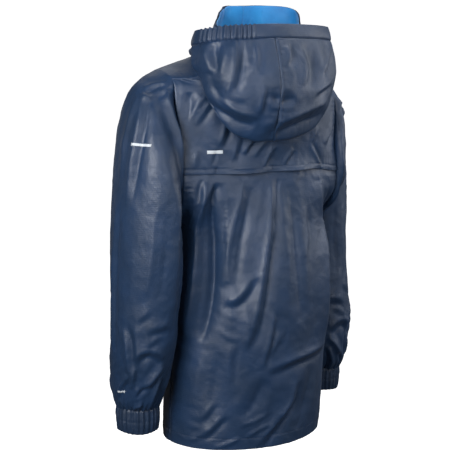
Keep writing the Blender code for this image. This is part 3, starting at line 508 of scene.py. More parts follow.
def coated_nylon(name, deep, pale, roughness=0.5, sheen=0.04, crinkle=0.8):
    """Nylon taffeta with a polyurethane coating, rolled smooth: a dyed cloth of 0.25 mm
    threads whose flat face gives a broad, soft shine along every fold."""
    material, shader = new_material(name)
    place = add_node(material, "ShaderNodeTexCoord")
    cloud = add_node(material, "ShaderNodeTexNoise", [("Vector", place, "Object")],
                     in_Scale=24.0, in_Detail=4.0)          # dye and handling, about 40 mm
    tone = add_node(material, "ShaderNodeValToRGB", [("Fac", cloud, "Fac")])
    tone.color_ramp.elements[0].position = 0.3
    tone.color_ramp.elements[0].color = linear(deep)
    tone.color_ramp.elements[1].position = 0.7
    tone.color_ramp.elements[1].color = linear(pale)
    rough = add_node(material, "ShaderNodeMapRange", [("Value", cloud, "Fac")],
                     in_From_Min=0.3, in_From_Max=0.7,
                     in_To_Min=roughness + 0.04, in_To_Max=roughness - 0.04)
    creases = add_node(material, "ShaderNodeTexNoise", [("Vector", place, "Object")],
                       noise_type="RIDGED_MULTIFRACTAL", in_Scale=60.0, in_Detail=2.0,
                       in_Distortion=0.7)                       # fine sharp creases, 17 mm
    crinkles = add_node(material, "ShaderNodeTexNoise", [("Vector", place, "Object")],
                        in_Scale=110.0, in_Detail=3.0, in_Distortion=0.6)   # 9 mm
    # The threads are too fine to show, so the ribs are drawn 1.3 mm apart
    ribs = add_node(material, "ShaderNodeTexWave", [("Vector", place, "Object")],
                    wave_type="BANDS", bands_direction="Z", in_Scale=120.0,
                    in_Distortion=1.5, in_Detail=1.0)
    sharp = add_node(material, "ShaderNodeBump", [("Height", creases, "Fac")],
                     in_Strength=0.4, in_Distance=0.0006 * crinkle)
    soft = add_node(material, "ShaderNodeBump", [("Height", crinkles, "Fac"), ("Normal", sharp, "Normal")],
                    in_Strength=0.5, in_Distance=0.0011 * crinkle)
    weave = add_node(material, "ShaderNodeBump", [("Height", ribs, "Fac"), ("Normal", soft, "Normal")],
                     in_Strength=0.12, in_Distance=0.00025)
    link = material.node_tree.links.new
    link(shader.inputs["Base Color"], tone.outputs["Color"])
    link(shader.inputs["Roughness"], rough.outputs["Result"])
    link(shader.inputs["Normal"], weave.outputs["Normal"])
    shader.inputs["IOR"].default_value = 1.5
    shader.inputs["Specular IOR Level"].default_value = 0.5
    shader.inputs["Sheen Weight"].default_value = sheen
    shader.inputs["Sheen Roughness"].default_value = 0.45
    shader.inputs["Sheen Tint"].default_value = linear("b8c8e6")
    return material


def plain_finish(name, dark, light, grain, lift, roughness):
    """A dyed or painted finish with a fine grain, which also raises it a little. The grain
    is a texture's kind and settings, the lift its bump's strength and distance."""
    material, shader = new_material(name)
    place = add_node(material, "ShaderNodeTexCoord")
    kind, settings = grain
    pattern = add_node(material, "ShaderNodeTex" + kind, [("Vector", place, "Object")], **settings)
    tone = add_node(material, "ShaderNodeValToRGB", [("Fac", pattern, "Fac")])
    tone.color_ramp.elements[0].color = dark
    tone.color_ramp.elements[1].color = light
    material.node_tree.links.new(shader.inputs["Base Color"], tone.outputs["Color"])
    if lift:
        bump = add_node(material, "ShaderNodeBump", [("Height", pattern, "Fac")],
                        in_Strength=lift[0], in_Distance=lift[1])
        material.node_tree.links.new(shader.inputs["Normal"], bump.outputs["Normal"])
    shader.inputs["Roughness"].default_value = roughness
    return material, shader


def seam_dip(*distances):
    """How far the cloth sinks towards the seams at the given distances."""
    total = 0.0
    for distance in distances:
        total = total + SEAM_DIP * np.exp(-(distance / 1.3) ** 2)
    return total


def near_seam(*distances, width=9.0):
    """0 at a seam and 1 away from it, where folds are free to form."""
    total = 1.0
    for distance in distances:
        total = total * ease(distance, 0.0, width)
    return total


def puckers(along, distance, seed, pitch=7.0, height=0.5):
    """Short pulls across a seam, strongest a few mm from it and unlike each other."""
    uneven = along + 0.7 * pitch * crumple(along, distance * 0, 2.3 * pitch, seed)
    size = 0.55 + 0.45 * crumple(along, distance * 0, 3.1 * pitch, seed + 1)
    reach = (distance / 4.5) * np.exp(1 - distance / 4.5)
    return height * size * reach * np.sin(2 * math.pi * uneven / pitch)


def lines_on(grid, normals, at_rows, at_columns):
    """Points and normals of a line across a grid, at fractional rows and columns."""
    at_rows, at_columns = np.broadcast_arrays(np.asarray(at_rows, float),
                                              np.asarray(at_columns, float))
    r = np.clip(np.floor(at_rows).astype(int), 0, grid.shape[0] - 2)
    c = np.clip(np.floor(at_columns).astype(int), 0, grid.shape[1] - 2)
    u, v = (at_rows - r)[:, None], (at_columns - c)[:, None]
    both = []
    for values in (grid, normals):
        low = values[r, c] * (1 - v) + values[r, c + 1] * v
        high = values[r + 1, c] * (1 - v) + values[r + 1, c + 1] * v
        both.append(low * (1 - u) + high * u)
    return both[0], unit(both[1])


def bar_on(name, face, normals, x, z, at, size, material):
    """A small plain bar lying on a cloth, centred at one place of its chart (x, z)."""
    row = np.unravel_index(np.argmin(np.hypot(x - at[0], z - at[1])), x.shape)[0]
    columns = np.interp(at[0] + np.linspace(-0.5, 0.5, 15) * size[0], x[row], np.arange(x.shape[1]))
    counted = np.arange(x.shape[0])
    points = []
    for level in at[1] + np.linspace(-0.5, 0.5, 5) * size[1]:
        rows = []
        for column in columns:
            first = int(column)
            heights = z[:, first] + (column - first) * (z[:, first + 1] - z[:, first])
            rows.append(np.interp(-level, -heights, counted))
        line, facing = lines_on(face, normals, np.array(rows), columns)
        points.append(line + 0.6 * facing)
    piece = cloth(name, np.concatenate(points), grid_faces(5, 15), material, wall=0.2, inside_out=True)
    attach(piece, "jacket")


navy = coated_nylon("coated navy nylon taffeta", "122842", "182f4d")
# Spun polyester sewing thread: matt and a little fuzzy, two strands twisted
thread_light = linear("1a2944")
navy_thread = plain_finish(
    "navy polyester thread", [part * 0.7 for part in thread_light[:3]] + [1], thread_light,
    ("Noise", dict(in_Scale=1500.0, in_Detail=1.0)), (0.4, 0.0002), 0.75)[0]

half = spaced(0, 1, 60, near=(0.006, 0.016))
half = half[(half == 0) | (half > 0.02)]       # the close places serve the side seams alone


def back_panel(rows):
    """The bare form of the back over some rows, from the right edge to the left."""
    left = half_body(rows, half, False, False)
    right = half_body(rows, half, False, True)
    return np.concatenate([right[:, :0:-1], left], axis=1)


rows = spaced(0, YOKE_ROW, 100, near=(0.03, 0.08), also=(9.55, 9.6, 9.65, 9.9, 9.95))
yoke = back_panel(rows)
from_right, from_left, from_top, from_edge = edge_distances(yoke)
free = near_seam(from_right, from_left, from_top)
height = fold_height(yoke[..., 0], yoke[..., 2], BACK_FOLDS) * free
height += slack(yoke[..., 0], yoke[..., 2], 11, 0.9) * free
height += puckers(from_top[:, :1] + yoke[..., 2], from_left, 21) * ease(from_top, 5, 15)
height += puckers(yoke[..., 2], from_right, 22) * ease(from_top, 5, 15)
height -= seam_dip(from_right, from_left, from_top)
height -= 0.55 * np.exp(-((from_edge - FLAP_STITCH) / 0.9) ** 2)
height += puckers(yoke[..., 0], np.abs(from_edge - FLAP_STITCH), 23, pitch=5.0, height=0.28)
height += 0.5 * ease(from_edge, 7.5, 6.0)             # the flap's edge is folded double
between = np.zeros(yoke.shape[:2])
for left, right_tack in zip(VENT_TACKS[:-1], VENT_TACKS[1:]):
    part = np.clip((yoke[..., 0] - left) / (right_tack - left), 0, 1)
    between += np.sin(math.pi * part) ** 1.6
height += VENT_GAPE * between * np.exp(-(from_edge / 13) ** 1.6)
for tack in VENT_TACKS:
    pull = np.exp(-((yoke[..., 0] - tack) / 2.0) ** 2) * ease(from_edge, 11, 7)
    height -= 0.8 * pull
yoke_normals = grid_normals(yoke)
yoke_face = yoke + yoke_normals * height[..., None]
yoke_piece = cloth("back_yoke_cloth", yoke_face.reshape(-1, 3), grid_faces(*yoke.shape[:2]), navy)
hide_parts("back_yoke")

rows = spaced(TUCK_ROW, HEM_ROW, 168, near=(0.03, 0.08), also=(22.42, 22.45, 22.48, 22.35, 22.55))
lower = back_panel(rows)
from_right, from_left, from_top, from_hem = edge_distances(lower)
row_of = np.broadcast_to(rows[:, None], lower.shape[:2])
under_arm = ease(row_of, 11.0, 12.5) * ease(row_of, 17.5, 16.0)
lower = soften(lower, under_arm * near_seam(from_right, from_left, width=16))
free = near_seam(from_right, from_left)
height = fold_height(lower[..., 0], lower[..., 2], BACK_FOLDS) * free
height += slack(lower[..., 0], lower[..., 2], 11, 1.15) * free
height += puckers(lower[..., 2], from_left, 24) * ease(row_of, 10.0, 10.6)
height += puckers(lower[..., 2], from_right, 25) * ease(row_of, 10.0, 10.6)
height -= seam_dip(from_right, from_left)
height -= 0.25 * np.exp(-((from_hem - HEM_TURN) / 0.9) ** 2)
height += puckers(lower[..., 0], np.abs(from_hem - HEM_TURN), 26, pitch=6.0, height=0.25)
height += 0.15 * ease(from_hem, HEM_TURN + 1.0, HEM_TURN - 0.5)
height -= 2.0 * ease(row_of, 10.55, 9.9)               # it sinks to pass under the flap
sides = near_seam(from_right, from_left, width=4.0)
height -= 1.2 * (1 - sides) * (row_of < 10)
lower_normals = grid_normals(lower)
lower_face = lower + lower_normals * height[..., None]
lower_piece = cloth("back_lower_cloth", lower_face.reshape(-1, 3), grid_faces(*lower.shape[:2]), navy)
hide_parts("back_lower")


def row_at(distance, wanted):
    """For each column, the fractional row at which a distance reaches the wanted value."""
    return np.array([np.interp(wanted, column[order], order.astype(float))
                     for column in distance.T
                     for order in [np.argsort(column, kind="stable")]])


yoke_distances = edge_distances(yoke)
lower_distances = edge_distances(lower)
shown = grid_normals(yoke_face)
columns = np.arange(2, yoke.shape[1] - 2)
level = row_at(yoke_distances[3], FLAP_STITCH)
seams = [lines_on(yoke_face, shown, level[columns], columns)]
at_x = yoke[-1, :, 0]
for left, right_end in ((-150, VENT_TACKS[0] - 3), (VENT_TACKS[2] + 3, 150)):   # double at the sides
    part = columns[(at_x[columns] > left) & (at_x[columns] < right_end)]
    seams.append(lines_on(yoke_face, shown, row_at(yoke_distances[3], FLAP_STITCH_2)[part], part))
for tack in VENT_TACKS:                                     # bar tacks down the flap
    for beside in (-0.6, 0.6):
        column_at = np.interp(tack + beside, at_x, np.arange(len(at_x)))
        down = np.array([row_at(yoke_distances[3], wanted)[int(column_at)]
                         for wanted in (9.5, 7, 4, 1.2)])
        seams.append(lines_on(yoke_face, shown, down, np.full(4, column_at)))
shown = grid_normals(lower_face)
columns = np.arange(2, lower.shape[1] - 2)
seams.append(lines_on(lower_face, shown, row_at(lower_distances[3], HEM_TURN)[columns], columns))
back_stitches = stitching("back_stitching", seams, navy_thread)

# Glass-bead film pressed on the cloth: pale grey, matt, finely grained
reflective = plain_finish("silver grey reflective transfer", linear("a9b0b8"), linear("ccd2d8"),
                          ("Noise", dict(in_Scale=1400.0)), None, 0.55)[0]
bar_on("yoke_bar", yoke_face, grid_normals(yoke_face), yoke[..., 0], yoke[..., 2],
       (86, -141), (21, 4.5), reflective)

for piece, width, length, area in ((yoke_piece, 0.29, 0.19, 0.0393), (lower_piece, 0.335, 0.42, 0.1330)):
    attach(piece, "jacket")
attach(back_stitches, "jacket")

# ---------------------------------------------------------------- fronts
# Left and right front in the same coated nylon, sewn to the back at the sides, to the
# sleeves' shoulder strips above and to the zip tapes at the middle; the hem is turned up.
ZIP_STITCH = 6.0             # topstitching beside the zip
FRONT_FOLDS = (
    (((98, -205), (94, -300), (86, -402)), 11, 5),
    (((70, -150), (60, -240), (52, -338)), 13, -3.5),
    (((30, -240), (36, -350), (44, -478)), 11, 3.5),
    (((88, -90), (64, -128), (30, -150)), 6, 3),
    (((96, -112), (72, -146), (44, -168)), 7, -2.5),
    (((104, -190), (82, -214), (62, -222)), 5, 3),
    (((60, -330), (84, -400), (90, -480)), 10, -3),
    (((20, -430), (50, -470), (86, -498)), 8, 3),
    (((14, -472), (48, -508), (80, -530)), 7, -2.5),
    (((102, -420), (98, -480), (92, -545)), 8, 3),
    (((16, -200), (24, -262), (22, -330)), 6, 2.2),
    (((40, -70), (30, -96), (14, -118)), 4, 2),
)

rows = spaced(0, HEM_ROW, 204, near=(0.03, 0.08), also=(22.42, 22.45, 22.48, 22.35, 22.55))
places = spaced(0, 1, 48, near=(0.008, 0.02))
front_seams = []
for side, right in (("left", False), ("right", True)):
    front = half_body(rows, places, True, right)
    from_zip, from_side, from_top, from_hem = edge_distances(front)
    under_arm = (ease(rows, 11.0, 12.5) * ease(rows, 17.5, 16.0))[:, None]
    front = soften(front, under_arm * near_seam(from_side, width=16))
    free = near_seam(from_zip, from_side, from_top)
    across = np.abs(front[..., 0])
    drop = 26.0 if right else 0.0       # the right front's folds lie a little lower
    height = fold_height(across + drop * 0.15, front[..., 2] + drop, FRONT_FOLDS) * free
    height += slack(front[..., 0], front[..., 2], 41 + 7 * right, 1.1) * free
    height += puckers(front[..., 2], from_side, 43 + right) * ease(from_top, 5, 15)
    height += puckers(front[..., 2], from_zip, 45 + right, pitch=6.0, height=0.35)
    height -= seam_dip(from_side, from_top) + 0.4 * np.exp(-((from_zip - ZIP_STITCH) / 0.9) ** 2)
    height -= 0.25 * np.exp(-((from_hem - HEM_TURN) / 0.9) ** 2)
    height += puckers(front[..., 0], np.abs(from_hem - HEM_TURN), 47 + right, pitch=6.0, height=0.3)
    height += 0.4 * ease(from_hem, HEM_TURN + 1.0, HEM_TURN - 0.5)
    normals = grid_normals(front) * (1 if right else -1)
    front_face = front + normals * height[..., None]
    piece = cloth("front_%s_cloth" % side, front_face.reshape(-1, 3),
                  grid_faces(*front.shape[:2]), navy, inside_out=not right)
    shown = grid_normals(front_face) * (1 if right else -1)
    down = np.arange(3, len(rows) - 1)
    front_seams.append(lines_on(front_face, shown, down, [
        np.interp(ZIP_STITCH, from_zip[row], np.arange(len(places))) for row in down]))
    columns = np.arange(1, len(places) - 1)
    front_seams.append(lines_on(front_face, shown, row_at(from_hem, HEM_TURN)[columns], columns))
    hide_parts("front_" + side)
    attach(piece, "jacket")
front_stitches = stitching("front_stitching", front_seams, navy_thread)
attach(front_stitches, "jacket")

# ---------------------------------------------------------------- sleeves
# Each sleeve is cut in one with the strip that runs over the shoulder to the neck, in the
# same coated nylon. The left arm hangs down; the right one is held further forward.
SLEEVE = (       # ring, outer x and z, inner x and z, middle y, half depth
    (1, 158, -45, 127, -251, -22, 56), (2, 176, -60, 125, -260, -16, 60),
    (3, 191, -92, 122, -270, -10, 62), (4, 200, -140, 119, -281, -8, 61),
    (5, 205, -200, 117, -300, -8, 60), (6, 206, -262, 117, -328, -10, 59),
    (7, 206, -322, 117, -358, -13, 57), (8, 206, -378, 119, -394, -15, 54),
    (9, 205, -424, 122, -430, -20, 50), (10, 202, -458, 127, -460, -25, 45),
    (11, 199, -482, 132, -482, -27, 38), (12, 194, -497, 136, -497, -28, 29.5),
)
STEP = 13.0      # width of one of the 24 steps round the sleeve
SLEEVE_FOLDS = (  # path of (step, z); 0 is the outer side, 6 the back, 12 inner, 18 front
    (((1.3, -61), (1.8, -56), (2.2, -52)), 3.5, -3.5, -1),
    (((2.2, -53), (2.5, -62), (2.5, -72)), 3.2, 3.5, -1),
    (((2.3, -71), (1.7, -68), (1.2, -71)), (4, 3), -2.5),
    (((2, -62), (2, -79), (2.2, -107), (2, -154), (1.7, -204)), 4.5, 4, -1),
    (((1, -66), (0.7, -90), (0.5, -127), (0.3, -190)), (5, 4), -2.5),
    (((4.6, -95), (6.3, -150), (7.2, -212), (7.2, -282), (7.3, -378)), (24, 7), -5.5),
    (((1.5, -372), (2.2, -397), (2.7, -439)), 4, 4, -1),
    (((2.7, -370), (3.2, -403), (3.7, -435)), 5, -2.5),
    (((6.7, -372), (5.3, -375), (4.2, -379)), 5, 2.4, -1),
    (((4.5, -351), (3.7, -358), (2.8, -365)), 4, 1.6, -1),
    (((6.2, -387), (5, -393), (4.2, -400)), 4, 1.6, -1),
    (((6.5, -421), (5, -409), (3.8, -412), (2.8, -427)), 5.5, 3.6, -1),
    (((6.8, -428), (5.8, -441), (4.5, -461)), (6, 5), -5),
    (((3.3, -423), (3.2, -441), (3.2, -462)), 3.5, 3.4, -1),
    (((7, -446), (6.5, -469), (6.2, -494)), 4.5, 5, -1),
    (((2.5, -443), (1.5, -463), (0.7, -480)), 3.5, 3.5, -1),
    (((3.7, -477), (4.3, -465), (5.2, -455)), (4, 3.5), 3),
    (((3.2, -494), (3.8, -489), (4.8, -485)), 4, -3),
    (((0.2, -203), (-0.2, -272), (-0.3, -341), (-0.2, -414)), 4.5, 2.6, -1),
    (((5, -219), (5, -280), (4.5, -332)), 10, 2.2, -1),
    (((9.6, -262), (10.4, -318), (9.2, -392)), 8, 4),
    (((11.5, -300), (10.2, -340), (8.8, -366)), 6, 3),
    (((13.0, -292), (14.5, -330), (16.4, -352)), 7, 4),
    (((15.0, -262), (15.6, -330), (14.2, -402)), 8, 3.5),
    (((21.5, -66), (19.6, -104), (17.4, -150)), 8, 4.5),
    (((20.2, -74), (18.6, -110), (16.2, -176)), 7, -2.8),
    (((21.0, -210), (20.2, -300), (20.6, -372)), 9, 3),
    (((17.0, -352), (18.4, -362), (20.4, -356)), 5, 3),
    (((17.6, -372), (19.2, -380), (21.0, -372)), 5, -2.6),
    (((21.8, -400), (20.6, -428), (20.2, -462)), 6, 3.6),
    (((18.2, -410), (17.4, -440), (18.2, -470)), 6, -3),
    (((14.6, -424), (15.2, -456), (14.6, -490)), 5, 3.5),
    (((11.4, -430), (12.4, -458), (11.6, -488)), 5, 3.2),
    (((9.0, -440), (8.2, -466), (8.6, -492)), 5, -3),
    (((22.6, -476), (21.4, -462), (20.4, -446)), 4, -2.5),
)
RING = 6         # columns of points in one step
SADDLE_ROWS = 40
ARMHOLE_FULL = 7.0
ALLOWANCE, ALLOWANCE_SINK = 2.5, 1.5          # width of the turned edge, and how far it dips
SLEEVE_BARS = (((2.5, -128), (24, 3.5)), ((1.4, -468), (13, 3)))     # (step, z) and size


def sleeve_tube(at, right):
    """Bare form of a sleeve below the armhole, still on the left side."""
    steps = np.arange(24 * RING) / RING
    angle = 2 * math.pi * steps / 24
    swing, depth = np.cos(angle), np.sin(angle)
    rings = [armhole_points(steps)]
    for ring, outer_x, outer_z, inner_x, inner_z, middle_y, half_depth in SLEEVE:
        rings.append(np.stack([(outer_x + inner_x) / 2 + (outer_x - inner_x) / 2 * swing,
                               middle_y + half_depth * depth,
                               (outer_z + inner_z) / 2 + (outer_z - inner_z) / 2 * swing], axis=1))
    grid = smooth(np.arange(13), np.array(rings), at)
    if right:
        grid += ease(at, 0.0, 4.5)[:, None, None] * np.array((7.0, -86.0, 0.0))
        grid += ease(at, 5.0, 11.0)[:, None, None] * np.array((-1.0, 43.0, 0.0))
    return grid


def saddle_strip(along):
    """Bare form of the strip over the left shoulder, at places from the neck outwards."""
    seams = np.stack([smooth((0, 0.5, 1), SADDLE[side], along)
                      for side in ("back", "ridge", "front")], axis=1)
    cross = np.linspace(0, 2, 4 * RING + 1)
    strip = np.array([smooth((0, 1, 2), seam, cross) for seam in seams])
    top = armhole_points(np.linspace(2, -2, 4 * RING + 1))
    last = smooth((0, 1, 2), [SADDLE[side][2] for side in ("back", "ridge", "front")], cross)
    return strip + along[:, None, None] * (top - last)


at = spaced(0, 12, 156, near=(0.03, 0.07))
along = np.linspace(0, 1, SADDLE_ROWS, endpoint=False)
for side, right in (("left", False), ("right", True)):
    tube = sleeve_tube(at, right)
    normals = -grid_normals(tube, ring=True)
    ring_steps = np.broadcast_to(np.arange(24 * RING) / RING, tube.shape[:2])
    down = np.concatenate([np.zeros((1, 24 * RING)),
                           np.cumsum(np.linalg.norm(np.diff(tube, axis=0), axis=2), axis=0)])
    u = ring_steps * STEP
    z = tube[..., 2]
    folds = [([(step * STEP, place) for step, place in path], *rest)
             for path, *rest in SLEEVE_FOLDS]
    if right:    # the same kinds of fold, set lower and turned a little on the other arm
        folds = [([(step + 0.6 * STEP, place - 12) for step, place in path], *rest)
                 for path, *rest in folds]
    over = (ring_steps <= 2) | (ring_steps >= 22)       # here the tube goes on as the strip
    inside_strip = (2 - np.minimum(ring_steps, 24 - ring_steps)) * STEP * 0.99
    seam_away = np.where(over, np.hypot(down, inside_strip), down)
    free = ease(seam_away, 0, 9)
    height = sum(fold_height(u + turn * 24 * STEP, z, folds) for turn in (-1, 0, 1)) * free
    wrap = ease(ring_steps, 22, 24)
    uneven = (slack(u, z, 61 + 9 * right, 1.15) * (1 - wrap)
              + slack(u - 24 * STEP, z, 61 + 9 * right, 1.15) * wrap)
    height += uneven * free
    height += puckers(u, down, 63 + right) * np.where(over, 0, 1) - seam_dip(seam_away)
    # the sleeve stands up full beside the armhole seam, most at the back of the arm
    behind = ease(ring_steps, 1.8, 3.2) * ease(ring_steps, 12, 9.5)
    full = ease(down, 0.5, 13.0) * np.exp(-np.maximum(down - 13.0, 0) / 20.0)
    height += ARMHOLE_FULL * behind * full - 1.8 * behind * np.exp(-(down / 4.0) ** 2)
    gathered = down[-1:] - down                          # pleats fanning up from the cuff
    pleat = np.sin(2 * math.pi * (u + 6 * crumple(u, gathered, 30, 65)) / 11.5)
    height += 1.3 * pleat * np.exp(-gathered / 13) - 0.5 * np.exp(-(gathered / 1.5) ** 2)
    face = tube + normals * height[..., None]
    strip = saddle_strip(along)
    strip_normals = grid_normals(strip)
    from_back, from_front, from_neck, to_arm = edge_distances(strip)
    strip_free = near_seam(from_back, from_front, from_neck)
    strip_height = slack(strip[..., 0], strip[..., 1], 71 + right, 0.8) * strip_free * ease(to_arm, 0, 14)
    pulls = puckers(strip[..., 0], from_back, 73) + puckers(strip[..., 0], from_front, 74)
    strip_height += pulls * ease(to_arm, 0, 9)
    strip_height -= seam_dip(from_back, from_front, from_neck)
    strip_face = strip + strip_normals * strip_height[..., None]
    count = face.shape[0] * face.shape[1]
    faces = [tuple(reversed(quad)) for quad in grid_faces(face.shape[0], 24 * RING, ring=True)]
    faces += grid_faces(SADDLE_ROWS, 4 * RING + 1, first=count)
    last = count + (SADDLE_ROWS - 1) * (4 * RING + 1)
    top = [place % (24 * RING) for place in range(2 * RING, -2 * RING - 1, -1)]
    faces += [(last + place, last + place + 1, top[place + 1], top[place])
              for place in range(4 * RING)]
    # the seam allowance, turned in under the body's edge from strip to strip
    sewn = np.arange(2 * RING, 22 * RING + 1)
    allowance = (face[0, sewn] + unit(face[0, sewn] - face[1, sewn]) * ALLOWANCE
                 - normals[0, sewn] * ALLOWANCE_SINK)
    points = np.concatenate([face.reshape(-1, 3), strip_face.reshape(-1, 3), allowance])
    joined = np.concatenate([len(points) - len(sewn) + np.arange(len(sewn)), sewn])
    faces += [tuple(joined[corner] for corner in reversed(quad)) for quad in grid_faces(2, len(sewn))]
    if right:
        points = right_side(points)
    else:
        for number, ((at_step, at_z), size) in enumerate(SLEEVE_BARS):
            bar_on("sleeve_bar_%d" % number, face, -grid_normals(face, ring=True), u, z,
                   (at_step * STEP, at_z), size, reflective)
    piece = cloth("sleeve_%s_cloth" % side, points, faces, navy, inside_out=right)
    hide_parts("sleeve_" + side)
    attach(piece, "jacket")

# ---------------------------------------------------------------- collar
# Stand-up collar: navy nylon outside and a smooth bright blue woven lining inside, which
# goes on behind the zip as a chin guard. It stands on the neckline of all the panels.
COLLAR_TOP = (      # angle round the neck from the back, left and right height, inset
    (0, 12, 12, 0), (40, 15, 18, 0), (80, 21, 40, 0), (110, 28, 48.5, 2), (130, 36.5, 49.5, 7),
    (150, 45, 49.5, 7.5), (164, 48, 49, 0.5), (174, 49, 49, 0), (180, 49, 49, 0),
)
NECK_Y, NECK_WIDE, NECK_DEEP = -5.0, 68.0, 58.0
COLLAR_ROWS = 20
RIM_STITCH = 4.5             # topstitching below the collar's rim


def neckline(front_places, back_places, across):
    """Bottom of the collar, from the left front edge round the back to the right one."""
    first = np.zeros(1)
    fronts = [half_body(first, front_places, True, right)[0] for right in (False, True)]
    strip = saddle_strip(np.zeros(1))[0][across]
    backs = [half_body(first, back_places, False, right)[0] for right in (False, True)]
    return np.concatenate([fronts[0], strip[-2::-1], backs[0][-2::-1], backs[1][1:],
                           right_side(strip)[1:], fronts[1][-2::-1]])


neck = neckline(np.linspace(0, 1, 31), np.linspace(0, 1, 26), slice(0, None, 2))
angle = np.degrees(np.arctan2(neck[:, 0] / NECK_WIDE, (neck[:, 1] - NECK_Y) / NECK_DEEP))
frontal = np.clip(-np.cos(np.radians(angle)), 0, 1) ** 2
top_edge = np.empty_like(neck)
rim = read_table(COLLAR_TOP, np.abs(angle))
top_edge[:, 0] = (neck[:, 0] * 64 / 68 - 7.0 * (1 - frontal)
                  + np.sign(neck[:, 0]) * (7 * (1 - 64 / 68) * frontal - rim[:, 2]))
top_edge[:, 1] = NECK_Y + 52 * np.cos(np.radians(angle))
top_edge[:, 2] = np.where(angle < 0, rim[:, 1], rim[:, 0])
outward = unit((neck - (0, NECK_Y, 0)) * (1, 1, 0))
part = spaced(0, 1, COLLAR_ROWS, near=(0.012,))
collar = (neck + part[:, None, None] * (top_edge - neck)
          + 2.0 * np.sin(math.pi * part)[:, None, None] * outward)
collar_normals = grid_normals(collar)
from_first, _, from_neck, from_rim = edge_distances(collar)
free = near_seam(from_neck, width=7.0)
height = slack(from_first, collar[..., 2], 81, 0.8) * free
height -= seam_dip(from_neck) + 0.35 * np.exp(-((from_rim - RIM_STITCH) / 0.9) ** 2)
height += puckers(from_first, np.abs(from_rim - RIM_STITCH), 83, pitch=6.0, height=0.3)
collar_face = collar + collar_normals * height[..., None]
collar_piece = cloth("collar_cloth", collar_face.reshape(-1, 3), grid_faces(*collar.shape[:2]), navy)
columns = np.arange(1, len(neck) - 1)
collar_stitches = stitching("collar_stitching", [
    lines_on(collar_face, collar_normals, row_at(from_rim, RIM_STITCH)[columns], columns)], navy_thread)

blue, shader = new_material("bright blue polyester taffeta")
# A thin plain-woven lining, uncoated: even and silky, its 0.2 mm threads drawn 1 mm apart
place = add_node(blue, "ShaderNodeTexCoord")
cloud = add_node(blue, "ShaderNodeTexNoise", [("Vector", place, "Object")], in_Scale=40.0, in_Detail=3.0)
tone = add_node(blue, "ShaderNodeValToRGB", [("Fac", cloud, "Fac")])
tone.color_ramp.elements[0].position = 0.3
tone.color_ramp.elements[0].color = linear("0c6aac")
tone.color_ramp.elements[1].position = 0.7
tone.color_ramp.elements[1].color = linear("1a86c8")
threads = add_node(blue, "ShaderNodeTexWave", [("Vector", place, "Object")],
                   bands_direction="Z", in_Scale=160.0, in_Distortion=1.0)
crinkles = add_node(blue, "ShaderNodeTexNoise", [("Vector", place, "Object")], in_Scale=90.0, in_Detail=3.0)
soft = add_node(blue, "ShaderNodeBump", [("Height", crinkles, "Fac")], in_Strength=0.5, in_Distance=0.0014)
weave = add_node(blue, "ShaderNodeBump", [("Height", threads, "Fac"), ("Normal", soft, "Normal")],
                 in_Strength=0.15, in_Distance=0.0002)
blue.node_tree.links.new(shader.inputs["Base Color"], tone.outputs["Color"])
blue.node_tree.links.new(shader.inputs["Normal"], weave.outputs["Normal"])
shader.inputs["Roughness"].default_value = 0.6
shader.inputs["Sheen Weight"].default_value = 0.2

guard = collar.shape[1] - 6                 # the lining begins beside the zip on the right
order = list(range(guard, collar.shape[1])) + list(range(0, guard + 1))
lining = collar_face[:, order]
lining_normals = collar_normals[:, order]
shut = np.abs(angle[order]) / 180
depth = 1.9 + 2.4 * np.clip((shut - 0.8) / 0.1, 0, 1)
# It is turned up to the collar's rim, and its slack shows as low upright waves
wave = slack(np.arange(len(order)) * 3.1 + 0 * lining[..., 2], lining[..., 2], 91)
wave *= np.sin(math.pi * np.clip(part, 0, 1))[:, None]
lining_face = lining - lining_normals * (depth + 0.4 + wave)[..., None]
lining_piece = cloth("collar_lining_cloth", lining_face.reshape(-1, 3),
                     grid_faces(*lining.shape[:2]), blue)
for piece, node, kind, area in ((collar_piece, "collar", "navy_nylon", 0.0179),
                                (lining_piece, "collar_lining", "blue_lining", 0.0180)):
    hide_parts(node)
    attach(piece, "jacket")
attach(collar_stitches, "jacket")

# ---------------------------------------------------------------- hood
# Two halves of the same nylon sewn down the middle of the pouch, its seam felled and
# topstitched. A doubled casing runs round the opening, gathered on elastic at the left.
HOOD = (    # angle, then reach and height where it lies inside, at its bottom, belly and rim
    (0, 74, -66, 88, -126, 112, -66, 90, 28), (25, 77, -62, 91, -123, 113, -64, 93, 27),
    (45, 88, -52, 101, -109, 118, -56, 101, 25), (60, 95, -38, 109, -80, 120, -40, 107, 22),
    (68, 95, -30, 111, -50, 115, -26, 105, 20), (75, 93, -23, 107, -33, 110, -13, 104, 18),
    (90, 84, -10, 93, -15, 95, -3, 91, 14), (110, 75, -11, 81, -14, 83, -4, 80, 10),
    (130, 70, -17, 75, -20, 78, -10, 76, 2), (150, 68, -27, 73, -30, 76, -20, 75, -6),
    (162, 66, -30, 70, -33, 74, -26, 74, -13),
)
HOOD_END = 160.0
HOOD_SHIFT = 25.0
CASING_DEPTH = 18.0
FELL_STITCH = 4.5            # topstitching beside the felled middle seam
CASING_LIFT = 1.0
GATHER_FROM, GATHER_TO, GATHERS = 72.0, 16.0, 12
